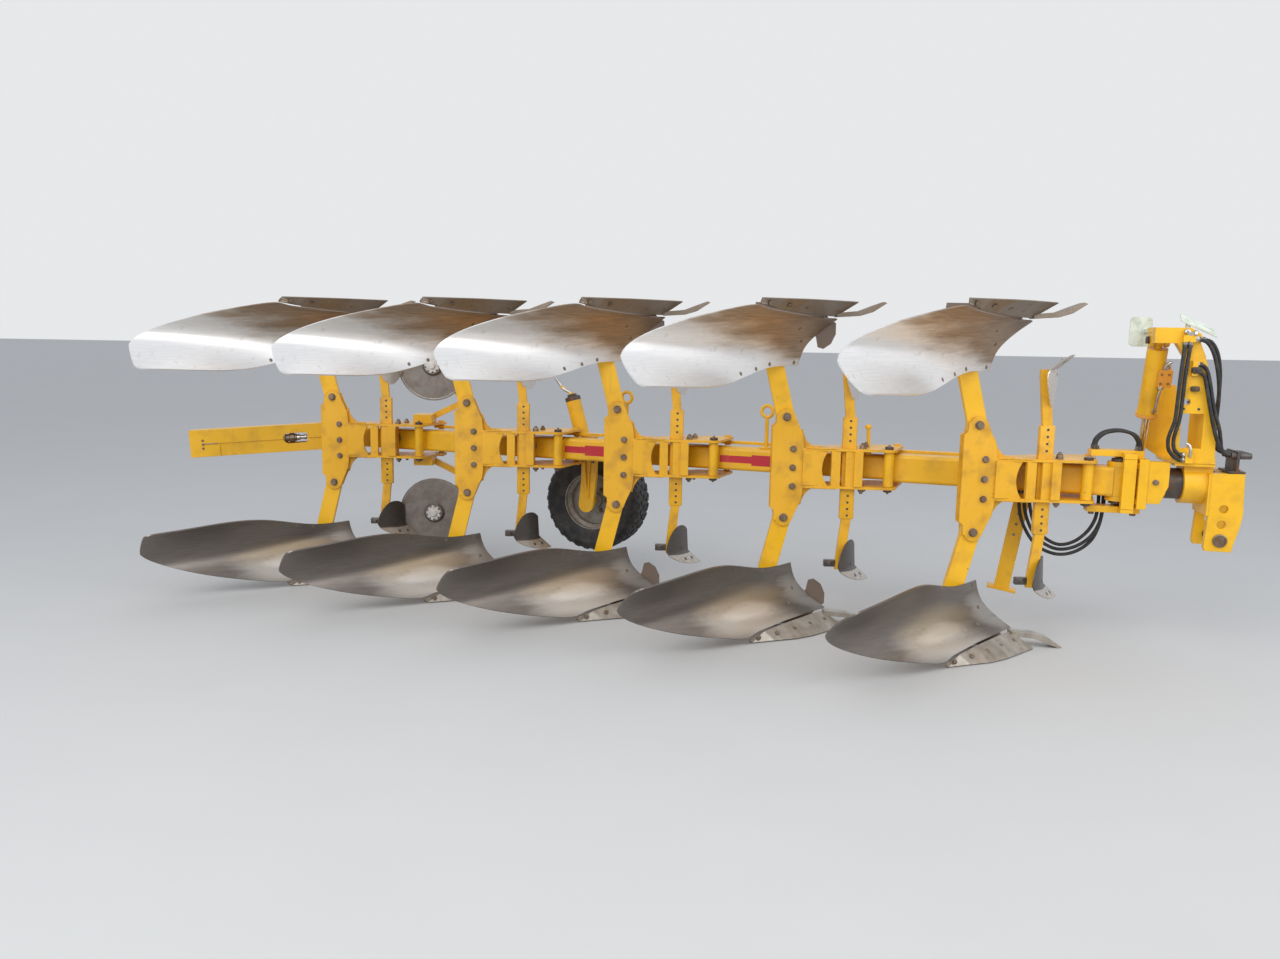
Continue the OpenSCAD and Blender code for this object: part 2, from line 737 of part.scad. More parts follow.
// Front fork between the beam's swing pivot and the turnover axle.
fork_t = 25;
fork_level = front_height / 2 + seat;
fork_r = 60;
strap_level = 128;
strap_back = 150;
strap_w = 90;
strap_h = 32;
block_x = 64;
block_l = 44;
block_w = 240;
block_h = 250;
neck_r = axle_r + 3;
neck_end = 205;
crank_y = 200;
crank_z = 60;
crank_t = 24;
crank_r = 30;
crank_pin_d = 30;
post_x = -7;
post_l = 60;
post_w = 30;
post_near = -115;
post_far = 85;
bridge_t = 22;
strap_foot = 36;
cover_near = -112;
cover_far = -60;
cover_outline = [[block_x + block_l - 1, -95], [170, -95], [neck_end, -5], [neck_end, 115],
    [block_x + block_l - 1, 115]];
module front_fork() {
    front = block_x + block_l;
    color(paint) on_axle() difference() {
        union() {
            both_ways() {
                translate([0, 0, fork_level]) linear_extrude(fork_t) {
                    circle(fork_r);
                    translate([0, -fork_r]) square([block_x + 20, 2 * fork_r]);
                    polygon([[20, -fork_r], [block_x + 20, -block_w / 2 + 4],
                        [block_x + 20, block_w / 2 - 4], [20, fork_r]]);
                }
                translate([-strap_back, -strap_w / 2, strap_level])
                    cube([strap_back + 100, strap_w, strap_h]);
                translate([post_x, post_near, strap_level])
                    cube([post_l, post_far + post_w - post_near, bridge_t]);
                translate([block_x, -strap_w / 2, 100]) cube([strap_foot, strap_w, 40]);
            }
            for (y = [post_near, post_far]) translate([post_x, y, -strap_level - bridge_t])
                cube([post_l, post_w, 2 * (strap_level + bridge_t)]);
            translate([block_x, -block_w / 2, -block_h / 2]) cube([block_l, block_w, block_h]);
            translate([block_x, 0, 0]) rotate([0, 90, 0]) cylinder(h = neck_end - block_x, r = neck_r);
            plate_xz(cover_near, cover_far) polygon(cover_outline);
            translate([front - crank_t, crank_y, crank_z]) rotate([0, 90, 0])
                cylinder(h = crank_t, r = crank_r);
            translate([front - crank_t, block_w / 2 - 10, crank_z - crank_r])
                cube([crank_t, crank_y - block_w / 2 + 10, 2 * crank_r]);
        }
        translate([0, 0, -fork_level - fork_t - 1])
            cylinder(h = 2 * (fork_level + fork_t + 1), d = swing_pin_d + 2 * fit);
        translate([block_x + 10, 0, 0]) rotate([0, 90, 0]) cylinder(h = neck_end, r = axle_r + fit);
        translate([front - crank_t - 1, crank_y, crank_z]) rotate([0, 90, 0])
            cylinder(h = crank_t + 2, d = crank_pin_d + 2);
    }
}

module swing_pin() {
    end = fork_level + fork_t + seat;
    color(dark) on_axle() {
        translate([0, 0, -end]) cylinder(h = 2 * end, d = swing_pin_d);
        for (z = [-end - 14, end]) translate([0, 0, z]) cylinder(h = 14, d = swing_pin_d + 24);
    }
}

// Turnover axle with its end stub and retaining nut.
housing_x = 281;
housing_end = 413;
housing_r = 98;
wall_t = 18;
stub_r = 52;
module turnover_axle() {
    color(dark) on_axle() rotate([0, 90, 0]) {
        translate([0, 0, block_x + 12]) cylinder(h = housing_end - wall_t - seat - block_x - 12, r = axle_r);
        translate([0, 0, block_x + 12]) cylinder(h = housing_end + 31 - block_x - 12, r = stub_r);
        translate([0, 0, housing_end + seat]) cylinder(h = 25, r = head_gap / 2 - 8);
    }
}

// Side plate of the headstock with its three pairs of holes.
head_outline = [[396, 68], [543, 74], [551, -133], [540, -204], [520, -280], [514, -318], [396, -318],
    [388, -299], [396, -142]];
head_holes = [[463, -105], [459, -183]];
cross_at = [458, -263];
link_hole_d = 42;
face_low = -142;
face_high = 68;
face_t = 28;
saddle_w = 140;
module headstock() {
    color(paint) on_axle() difference() {
        union() {
            for (y = [-head_gap / 2 - head_t, head_gap / 2]) plate_xz(y, y + head_t) difference() {
                polygon(head_outline);
                for (p = head_holes) translate(p) circle(d = link_hole_d);
                translate(cross_at) circle(d = cross_d + 2 * fit);
            }
            translate([housing_x, 0, 0]) rotate([0, 90, 0])
                cylinder(h = housing_end - housing_x, r = housing_r);
            translate([housing_end - face_t, -head_gap / 2 - head_t, face_low])
                cube([face_t, head_gap + 2 * head_t, face_high - face_low]);
            translate([housing_x, -saddle_w / 2, tower_base - 40])
                cube([housing_end - housing_x, saddle_w, 40]);
            translate([housing_end - 20, -head_gap / 2 - 1, face_high - face_t])
                cube([120, head_gap + 2, face_t]);
        }
        translate([housing_x - 1, 0, 0]) rotate([0, 90, 0])
            cylinder(h = housing_end - wall_t - housing_x + 1, r = axle_r + fit);
        translate([housing_x, 0, 0]) rotate([0, 90, 0]) cylinder(h = 200, r = stub_r + fit);
        translate([housing_end, 0, 0]) rotate([0, 90, 0]) cylinder(h = 30, r = head_gap / 2 - 5);
    }
}

module cross_shaft() {
    l = head_gap + 2 * head_t + 4;
    color(dark) on_axle() translate([cross_at[0], l / 2, cross_at[1]]) rotate([90, 0, 0])
        cylinder(h = l, d = cross_d);
}

// Tower: near plate with its window, a short web, the far plate and the crown that carries the cylinder.
tower_base = 100;
near_y = -head_gap / 2 - head_t;
far_y = 215;
far_t = 18;
base_front = 407;
base_back = 225;
base_t = 16;
near_outline = [[212, 116], [407, 116], [400, 160], [394, 330], [380, 395], [350, 520], [318, 640],
    [292, 700], [226, 700], [215, 562], [216, 391], [212, 268]];
window_at = [236, 190];
window_size = [99, 170];
link_hole_at = [254, 417];
web_x = 335;
web_t = 15;
web_w = 200;
web_h = 330;
far_outline = [[156, 160], [base_back, 116], [330, 116], [322, 260], [285, 487], [215, 487], [190, 420],
    [172, 310]];
crown_low = 700;
crown_high = 776;
crown_y = -45;
crown_outline = [[226, 640], [262, 640], [292, crown_low], [292, 745], [245, crown_high],
    [84, crown_high], [84, crown_low], [188, crown_low]];
cylinder_x = 132;
eye_w = 34;
eye_r = 30;
lug_t = 18;
lug_gap = 9;
lug_r = 34;
top_pin_d = 30;
cap_level = 752;
pad_t = 26;
module tower() {
    color(paint) on_axle() {
        difference() {
            plate_xz(near_y, near_y + head_t) polygon(near_outline);
            plate_xz(near_y - 1, near_y + head_t + 1) {
                translate(window_at) square(window_size);
                translate(link_hole_at) circle(d = top_link_d);
            }
        }
        plate_xz(far_y, far_y + far_t) polygon(far_outline);
        translate([base_back, near_y, tower_base + seat])
            cube([base_front - base_back, far_y + far_t - near_y, base_t]);
        translate([web_x, near_y + head_t - 1, tower_base + 10]) cube([web_t, web_w, web_h]);
        translate([206, near_y - pad_t, 706]) cube([56, pad_t + 1, 34]);
        translate([258, near_y - pad_t, 545]) cube([24, pad_t + 1, 72]);
        translate([262, near_y - pad_t, tower_base + base_t + 1]) cube([36, pad_t + 1, 54]);
        difference() {
            union() {
                plate_xz(near_y, crown_y) polygon(crown_outline);
                translate([84, crown_y - 1, cap_level]) cube([100, 41 - crown_y, crown_high - cap_level]);
                for (x = [cylinder_x - eye_w / 2 - lug_gap - lug_t, cylinder_x + eye_w / 2 + lug_gap])
                    translate([x, 0, cylinder_top]) rotate([0, 90, 0]) {
                        cylinder(h = lug_t, r = lug_r);
                        translate([cylinder_top - cap_level - 1, -lug_r, 0])
                            cube([cap_level - cylinder_top + 1, 2 * lug_r, lug_t]);
                    }
            }
            translate([80, 0, cylinder_top]) rotate([0, 90, 0]) cylinder(h = 110, d = top_pin_d + 2 * fit);
        }
    }
}

// Turnover cylinder, drawn along its own line from the crown's pin down to the crank on the fork.
cylinder_swing = atan2(crank_y, cylinder_top - crank_z);
cylinder_length = norm([crank_y, cylinder_top - crank_z]);
barrel_start = 42;
barrel_end = 405;
gland_l = 24;
barrel_wall = 8;
top_pin_l = eye_w + 2 * lug_gap + 2 * lug_t + 4;
module on_cylinder() {
    on_axle() translate([cylinder_x, 0, cylinder_top]) rotate([cylinder_swing, 0, 0]) children();
}

module cylinder_barrel() {
    color(paint) on_cylinder() {
        rotate([0, 90, 0]) translate([0, 0, -eye_w / 2]) cylinder(h = eye_w, r = eye_r);
        translate([0, 0, -barrel_start - 8]) cylinder(h = 26, r = 18);
        rotate([0, 90, 0]) translate([0, 0, -top_pin_l / 2]) cylinder(h = top_pin_l, d = top_pin_d);
        translate([0, 0, -barrel_end]) difference() {
            union() {
                cylinder(h = barrel_end - barrel_start, d = barrel_d);
                cylinder(h = gland_l, d = barrel_d + 8);
            }
            translate([0, 0, gland_l])
                cylinder(h = barrel_end - barrel_start - gland_l - 12, d = barrel_d - 2 * barrel_wall);
            translate([0, 0, -1]) cylinder(h = gland_l + 2, d = rod_d + 2 * fit);
        }
    }
}

module cylinder_rod() {
    piston = 300;
    color(steel) on_cylinder() {
        translate([0, 0, 20 - cylinder_length]) cylinder(h = cylinder_length - 20 - piston, d = rod_d);
        translate([0, 0, -piston - 10]) cylinder(h = 26, d = barrel_d - 2 * barrel_wall - 2 * fit);
        translate([-eye_w / 2, 0, -cylinder_length]) rotate([0, 90, 0]) difference() {
            cylinder(h = eye_w, r = eye_r);
            translate([0, 0, -1]) cylinder(h = eye_w + 2, d = crank_pin_d);
        }
    }
}

// Valve block that rides on the turnover cylinder's barrel.
module valve_block() {
    color([0.86, 0.55, 0.14]) on_cylinder() difference() {
        translate([8, -60, -228]) cube([66, 80, 88]);
        translate([0, 0, -240]) cylinder(h = 110, d = barrel_d + 2 * seat);
    }
}

// Two pale marker boards on the tower's crown.
module marker_boards() {
    color([0.85, 0.87, 0.82]) on_axle() {
        translate([86, 40 + seat, cap_level]) cube([20, 81, 18]);
        translate([72, 0, 757]) plate_xz(120, 125) round_square(105, 150, 22);
        translate([226, -90, crown_high + seat]) cube([18, 20, 25]);
        translate([289, -50, 788]) rotate([22, 25, 0]) translate([-90, -55, -2]) cube([180, 110, 5]);
    }
}

// Rack on the headstock that holds the hoses' couplers.
head_top = 74;
rack_x = 470;
rack_l = 73;
rack_t = 12;
coupler_x = rack_x + 6;
coupler_d = 34;
coupler_l = 92;
coupler_level = 160;
coupler_y = [-90, -50, -10, 30];
rack_side = 22;
module coupler_rack() {
    low = coupler_y[0] - rack_side;
    span = coupler_y[3] + rack_side - low;
    color(dark) on_axle() {
        translate([rack_x, low, head_top + seat]) cube([rack_l, span, 10]);
        difference() {
            translate([rack_x + 30, low, head_top + 5])
                cube([rack_t, span, coupler_level + rack_side - head_top - 5]);
            for (y = coupler_y) translate([rack_x, y, coupler_level]) rotate([0, 90, 0])
                cylinder(h = rack_l, d = coupler_d + 2 * seat);
        }
    }
}

// Round tube of eight sides along a route that keeps off the Y direction.
function ring_frame(pts, i) =
    let(t = unit(pts[min(i + 1, len(pts) - 1)] - pts[max(i - 1, 0)]), a = unit(cross(t, [0, 1, 0])))
    [a, cross(t, a)];
module tube_along(pts, d) {
    n = len(pts);
    corners = [for (i = [0:n - 1]) let(f = ring_frame(pts, i)) for (k = [0:7])
        pts[i] + d / 2 * (f[0] * cos(45 * k) + f[1] * sin(45 * k))];
    sides = [for (i = [0:n - 2]) for (k = [0:7]) let(a = i * 8 + k, b = i * 8 + (k + 1) % 8)
        each [[a, a + 8, b], [b, a + 8, b + 8]]];
    ends = [for (k = [1:6]) each [[0, k, k + 1], [n * 8 - 8, n * 8 - 7 + k, n * 8 - 8 + k]]];
    polyhedron(corners, concat(sides, ends), convexity = 10);
}

// Ferrule at a hose's end: a short cylinder from the point p along the direction v.
hose_d = 18;
ferrule_d = 23;
ferrule_l = 22;
module ferrule(p, v) {
    rod(p, p + v * ferrule_l, ferrule_d);
}

// Hoses of the headstock, each held at both its ends. Routes in the axle's frame.
loop_routes = [
    [[218, -123, 690], [213, -132, 640], [206, -141, 540], [203, -142, 440], [199, -140, 330],
        [183, -136, 262], [178, -133, 226], [187, -129, 179], [215, -125, 145], [244, -123, 133]],
    [[242, -123, 690], [237, -128, 640], [229, -132, 540], [226, -134, 440], [222, -134, 340],
        [207, -132, 262], [203, -131, 228], [209, -128, 188], [229, -125, 163], [244, -123, 157]]
];
rack_routes = [
    [[278, -123, 722], [318, -122, 704], [352, -116, 650], [380, -106, 560], [398, -90, 460], [404, -70, 360],
        [407, -50, 290], [416, -30, 226], [436, -16, 182], [480, -10, 160]],
    [[310, -80, 722], [350, -76, 706], [384, -66, 650], [406, -50, 560], [416, -30, 460], [420, -6, 360],
        [421, 10, 290], [428, 20, 228], [446, 26, 184], [480, 30, 160]],
    [[298, -123, 600], [322, -123, 580], [340, -124, 530], [358, -124, 450], [378, -124, 370],
        [404, -124, 290], [420, -106, 236], [440, -74, 186], [480, -50, 160]],
    [[298, -123, 562], [318, -124, 540], [332, -130, 480], [350, -132, 400], [370, -132, 320],
        [392, -130, 250], [416, -120, 204], [440, -104, 174], [480, -90, 160]]
];
loop_foot = [133, 157];
rack_ends = [2, 3, 1, 0];
module tower_hoses() {
    color(rubber) on_axle() {
        for (k = [0, 1]) {
            tube_along(loop_routes[k], hose_d);
            ferrule(loop_routes[k][0] + [0, 0, 706 - 690 - seat], [0, 0, -1]);
            ferrule([262 - seat, -123, loop_foot[k]], [-1, 0, 0]);
        }
        for (k = [0:3]) {
            start = [262, 292, 282, 282][k] + seat;
            tube_along(rack_routes[k], hose_d);
            ferrule([start, rack_routes[k][0][1], rack_routes[k][0][2]], [1, 0, 0]);
            translate([coupler_x, coupler_y[rack_ends[k]], coupler_level]) rotate([0, 90, 0])
                cylinder(h = coupler_l, d = coupler_d);
        }
    }
}

// Hoses that hang in a loop below the front of the beam. Routes in the beam's frame.
beam_hose_y = [[106, 84], [80, 84], [82, 84]];
beam_routes = [
    [[98, -76], [98, -150], [90, -245], [54, -340], [-20, -405], [-110, -425], [-204, -390], [-268, -310],
        [-306, -210], [-320, -70]],
    [[100, -76], [99, -150], [88, -235], [50, -315], [-22, -375], [-106, -395], [-188, -362], [-244, -295],
        [-280, -200], [-296, -70]],
    [[74, -76], [74, -150], [64, -225], [28, -295], [-32, -350], [-102, -370], [-172, -340], [-222, -280],
        [-254, -190], [-268, -70]]
];
module beam_hoses() {
    color(rubber) on_beam() for (k = [0:2]) {
        r = beam_routes[k];
        y = beam_hose_y[k];
        tube_along([for (i = [0:9]) [r[i][0], mix(y[0], y[1], i / 9), r[i][1]]], hose_d);
        ferrule([r[0][0], y[0], hose_pad_low - seat], [0, 0, -1]);
        ferrule([r[9][0], y[1], -carrier_h / 2 - seat], [0, 0, -1]);
    }
}

// Hoses that arch over the front strap. Routes in the axle's frame.
arch_y = [-24, 0, 24];
arch_route = [[82, 176], [78, 206], [48, 242], [-16, 258], [-82, 246], [-120, 212], [-130, 176]];
module fork_hoses() {
    color(rubber) on_axle() for (y = arch_y) {
        tube_along([for (p = arch_route) [p[0], y, p[1]]], hose_d);
        ferrule([82, y, strap_level + strap_h + seat], [0, 0, 1]);
        ferrule([-130, y, strap_level + strap_h + seat], [0, 0, 1]);
    }
}

beam();
turn_pins();
steering_rod();
rear_arm();
disc_arms();
disc_lower();
disc_upper();
wheel_arm();
wheel_adjuster();
wheel_rim();
wheel_tyre();
stand();
front_fork();
swing_pin();
turnover_axle();
headstock();
tower();
cross_shaft();
cylinder_barrel();
cylinder_rod();
valve_block();
marker_boards();
coupler_rack();
tower_hoses();
beam_hoses();
fork_hoses();
bracket_at(0);  // bracket_0
bracket_at(1);  // bracket_1
bracket_at(2);  // bracket_2
bracket_at(3);  // bracket_3
bracket_at(4);  // bracket_4
legs_at(0);  // legs_0
legs_at(1);  // legs_1
legs_at(2);  // legs_2
legs_at(3);  // legs_3
legs_at(4);  // legs_4
boards_at(0);  // boards_0
boards_at(1);  // boards_1
boards_at(2);  // boards_2
boards_at(3);  // boards_3
boards_at(4);  // boards_4
shares_at(0);  // shares_0
shares_at(1);  // shares_1
shares_at(2);  // shares_2
shares_at(3);  // shares_3
shares_at(4);  // shares_4
skimmers_at(0);  // skimmers_0
skimmers_at(1);  // skimmers_1
skimmers_at(2);  // skimmers_2
skimmers_at(3);  // skimmers_3
skimmers_at(4);  // skimmers_4
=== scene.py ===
import json
import random
from math import atan2, cos, pi, radians, sin, sqrt

import bmesh
import bpy
from mathutils import Matrix, Vector


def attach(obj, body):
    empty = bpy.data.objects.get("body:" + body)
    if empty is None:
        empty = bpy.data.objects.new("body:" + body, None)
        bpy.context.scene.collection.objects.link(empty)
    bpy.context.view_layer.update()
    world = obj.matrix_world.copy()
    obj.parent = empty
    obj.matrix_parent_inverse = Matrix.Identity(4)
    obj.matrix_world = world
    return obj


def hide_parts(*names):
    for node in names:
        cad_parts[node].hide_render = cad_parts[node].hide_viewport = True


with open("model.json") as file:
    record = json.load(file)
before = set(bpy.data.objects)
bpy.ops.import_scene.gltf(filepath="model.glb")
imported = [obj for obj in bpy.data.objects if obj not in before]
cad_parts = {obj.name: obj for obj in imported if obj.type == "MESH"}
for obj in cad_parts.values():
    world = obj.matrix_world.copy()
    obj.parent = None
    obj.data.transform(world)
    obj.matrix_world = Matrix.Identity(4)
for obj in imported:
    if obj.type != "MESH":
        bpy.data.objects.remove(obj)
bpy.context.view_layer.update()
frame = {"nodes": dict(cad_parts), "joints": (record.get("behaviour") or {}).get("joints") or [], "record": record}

# Where the photograph was taken from, in metres and degrees, and the camera's lens and sensor, in millimetres
EYE = Vector((-0.024, -5.485, 1.5695))
LOOK_DOWN = 7.98
ROLL = 1
LENS = 28.125
SENSOR_WIDTH = 36

JOINTS = {j["name"]: j for j in frame["joints"]}
BODY_COUNT = 5

# Directions: up, down, and along a piece's X and Y axes, where NEAR is the camera's side
UP = Vector((0, 0, 1))
DOWN = (0, 0, -1)
AHEAD, BACK = (1, 0, 0), (-1, 0, 0)
NEAR, FAR = (0, -1, 0), (0, 1, 0)


def joint_place(name):
    return Vector(JOINTS[name]["pos_m"])


def axes(origin, along):
    """A frame in millimetres at origin: X along the given direction, Z up."""
    m = Matrix((along, UP.cross(along), UP)).transposed().to_4x4()
    m.translation = origin
    return m @ Matrix.Scale(0.001, 4)


move = Matrix.Translation


def rotate(angle, axis):
    return Matrix.Rotation(angle, 4, axis)


# Sizes that part.scad sets, in millimetres
BEAM_HEIGHT = 895
BEAM_HALF = 65
FURROW_PITCH = 985
CARRIER_Y = 182
WHEEL_X = -2915
WHEEL_ARM_X = -2878
CYLINDER_PIN = (132, 0, 715)
CRANK_SIDE = 200
CRANK_DROP = 655

# From the beam's middle line to the turn pins, and from a pin to its body's origin, in metres, with that
# pin's place on the body, in millimetres
PIN_SIDE = 0.111
BODY_OFFSET = Vector((-0.523, 0.045, 0))
BODY_PIN = (523, -45)

# The frames that part.scad draws in: beam, turnover axle, bodies, cylinder and wheel
PINS = [joint_place("furrow_width" if i == 0 else f"furrow_width_{i}") for i in range(BODY_COUNT)]
BEAM_X = (PINS[0] - PINS[1]).normalized()
BEAM_ORIGIN = PINS[0] + UP.cross(BEAM_X) * PIN_SIDE
BEAM = axes(BEAM_ORIGIN, BEAM_X)
AXLE = axes(joint_place("turnover"), -Vector(JOINTS["turnover"]["axis"]))
BODIES = [axes(p + BODY_OFFSET, Vector(AHEAD)) for p in PINS]
CYLINDER = AXLE @ move(CYLINDER_PIN) @ rotate(atan2(CRANK_SIDE, CRANK_DROP), "X")
WHEEL = axes(joint_place("wheel_spin"), BEAM_X) @ rotate(-pi / 2, "X")

# Turns a lower piece into its upper twin
MIRROR = Matrix.Diagonal((1, 1, -1, 1))
BOTH = (Matrix(), MIRROR)


def add_object(name, data):
    obj = bpy.data.objects.new(name, data)
    bpy.context.collection.objects.link(obj)
    return obj


def set_view():
    data = bpy.data.cameras.new("camera")
    data.sensor_width = SENSOR_WIDTH
    data.sensor_fit = "HORIZONTAL"
    data.lens = LENS
    camera = add_object("camera", data)
    turn = rotate(radians(90 - LOOK_DOWN), "X") @ rotate(radians(ROLL), "Z")
    camera.matrix_world = move(EYE) @ turn
    bpy.context.scene.camera = camera
    bpy.context.scene.view_settings.view_transform = "Standard"


# Materials

class Nodes:
    """A short way to wire a material's nodes."""

    def __init__(self, name):
        self.material = bpy.data.materials.new(name)
        self.material.use_nodes = True
        self.tree = self.material.node_tree
        self.shader = self.tree.nodes["Principled BSDF"]
        self.normal = None

    def new(self, kind):
        return self.tree.nodes.new("ShaderNode" + kind)

    def add(self, kind, **inputs):
        node = self.new(kind)
        for key, value in inputs.items():
            self.put(node, key.replace("_", " "), value)
        return node

    def put(self, node, key, value):
        """Wires an input, or sets it. A tuple is a colour."""
        if isinstance(value, bpy.types.NodeSocket):
            self.tree.links.new(value, node.inputs[key])
        else:
            node.inputs[key].default_value = (*value, 1) if isinstance(value, tuple) else value

    def place(self):
        return self.new("TexCoord").outputs["Object"]

    def uv(self):
        return self.new("TexCoord").outputs["UV"]

    def noise(self, scale, detail=4, stretch=None, where=None):
        where = where or self.place()
        if stretch:
            mapping = self.add("Mapping", Vector=where)
            mapping.inputs["Scale"].default_value = stretch
            where = mapping.outputs["Vector"]
        node = self.add("TexNoise", Vector=where, Scale=scale, Detail=detail, Roughness=0.55)
        return node.outputs["Fac"]

    def ramp(self, value, low, high, a=0, b=1, kind="LINEAR"):
        """Maps low to a and high to b, and stops there."""
        node = self.add("MapRange", Value=value, From_Min=low, From_Max=high, To_Min=a, To_Max=b)
        node.interpolation_type = kind
        return node.outputs["Result"]

    def math(self, how, a, b, kind="Math", out=0):
        node = self.new(kind)
        node.operation = how
        for k, value in enumerate((a, b)):
            self.put(node, k, value)
        return node.outputs[out]

    def both(self, *masks):
        total = masks[0]
        for m in masks[1:]:
            total = self.math("MULTIPLY", total, m)
        return total

    def between(self, value, low, high):
        return self.both(self.math("GREATER_THAN", value, low), self.math("LESS_THAN", value, high))

    def dot(self, a, b):
        return self.math("DOT_PRODUCT", a, b, "VectorMath", "Value")

    def mix(self, factor, a, b):
        """Mixes two colours. A colour mix uses the node's inputs 0, 6 and 7 and its output 2."""
        node = self.new("Mix")
        node.data_type = "RGBA"
        for k, value in ((0, factor), (6, a), (7, b)):
            self.put(node, k, value)
        return node.outputs[2]

    def soften(self, radius=0.003):
        """Rounds the edges in the shading, and returns where those edges are."""
        bevel = self.add("Bevel", Radius=radius)
        bevel.samples = 4
        self.normal = bevel.outputs["Normal"]
        flat = self.new("NewGeometry").outputs["Normal"]
        return self.ramp(self.dot(self.normal, flat), 0.985, 0.9)

    def bump(self, height, strength):
        node = self.add("Bump", Height=height, Strength=strength, Distance=0.002)
        if self.normal:
            self.put(node, "Normal", self.normal)
        self.put(self.shader, "Normal", node.outputs["Normal"])

    def axis(self, which, where=None):
        return self.add("SeparateXYZ", Vector=where or self.place()).outputs[which]

    def finish(self, color, rough, metal=0):
        self.put(self.shader, "Base Color", color)
        self.put(self.shader, "Roughness", rough)
        self.put(self.shader, "Metallic", metal)
        return self.material


RUST = (0.2, 0.075, 0.025)
STRIPE_RED = (0.5, 0.018, 0.03)

# Red stripes on the beam's near face: (start, end) along the beam and (low, high), in millimetres
STRIPES = (((-1985, -1640), (-20, 21)), ((-1757, -1640), (-32, 30)),
           ((-2943, -2640), (-20, 21)), ((-2797, -2640), (-32, 30)))

# The slice across the beam that holds only its near face, in metres
NEAR_FACE = (-0.068, -0.062)

# From the beam's middle line to where a leg's paint gives way to dark steel, in metres: bare steel on the
# landside, painted shade on the frog behind the share
DARK_FOOT_LEVELS = (0.575, 0.6)


def worn_paint(name, tone=(0.8, 0.43, 0.004), striped=False, feet=False, rust=0.55, grime_and_shade=0.35):
    """Faded paint with grime, chips and rusty edges; laid on strongly, the grime also paints shade. With feet,
    what lies far from the beam is dark: bare steel, with painted shade on the frog behind the share.
    """
    n = Nodes(name)
    edge = n.soften()
    fade = n.ramp(n.noise(3), 0.35, 0.65)
    pale = tuple(min(1, c * 1.07 + 0.012) for c in tone)
    color = n.mix(fade, tone, pale)
    if striped:
        where = n.math("SUBTRACT", n.place(), BEAM_ORIGIN, "VectorMath", "Vector")
        along = n.dot(where, BEAM_X)
        across = n.dot(where, UP.cross(BEAM_X))
        high = n.dot(where, UP)
        near = n.between(across, *NEAR_FACE)
        red = 0
        for (start, end), (low, top) in STRIPES:
            inside = n.both(n.between(along, start / 1000, end / 1000),
                            n.between(high, low / 1000, top / 1000), near)
            red = n.math("MAXIMUM", red, inside)
        color = n.mix(red, color, STRIPE_RED)
    # Brown grime in patches; on the shaded bracket paint it is strong and paints shade too.
    dirt_and_shade = n.both(n.ramp(n.noise(9, 8), 0.5, 0.72), grime_and_shade)
    color = n.mix(dirt_and_shade, color, (0.36, 0.17, 0.03))
    streaks = n.both(n.ramp(n.noise(14, 6, (1, 1, 0.12)), 0.6, 0.75), 0.28)
    color = n.mix(streaks, color, (0.4, 0.2, 0.05))
    broken = n.noise(55, 6)
    worn = n.both(edge, n.ramp(broken, 0.5, 0.62), rust)
    chips = n.math("MAXIMUM", n.both(n.ramp(n.noise(38, 7), 0.7, 0.74), 0.8), worn)
    color = n.mix(chips, color, n.mix(n.noise(90), RUST, (0.1, 0.06, 0.045)))
    # Far from the beam the legs turn dark: bare landside steel, and painted shade on the frog where it shows in
    # the gap behind the share.
    if feet:
        level = n.math("ABSOLUTE", n.math("SUBTRACT", n.axis("Z"), BEAM_HEIGHT / 1000), 0)
        bare_and_shaded = n.ramp(n.math("ADD", level, n.ramp(n.noise(8), 0.3, 0.7, -0.02, 0.02)), *DARK_FOOT_LEVELS)
        color = n.mix(bare_and_shaded, color, n.mix(n.noise(30, 6), (0.13, 0.11, 0.095), (0.2, 0.13, 0.085)))
    rough = n.math("ADD", n.ramp(n.noise(14), 0.3, 0.7, 0.3, 0.46), n.both(chips, 0.35))
    n.bump(n.math("SUBTRACT", n.noise(220, 2), n.both(chips, 1.5)), 0.12)
    return n.finish(color, rough)


# Patches on a lower mouldboard, mostly painted highlights that stand in for the sky's reflection, and one
# golden-brown patch:
# (distance from the shin, height) and (half width, half height) in metres, colour, strength
LOWER_HIGHLIGHTS_AND_TINT = (
    ((0.56, 0.12), (0.4, 0.115), (0.72, 0.67, 0.59), 0.75),
    ((0.5, 0.15), (0.24, 0.055), (1, 0.98, 0.93), 0.8),
    ((0.46, 0.2), (0.44, 0.1), (0.46, 0.36, 0.23), 0.6),
    ((0.07, 0.2), (0.12, 0.11), (0.72, 0.69, 0.63), 0.45),
)


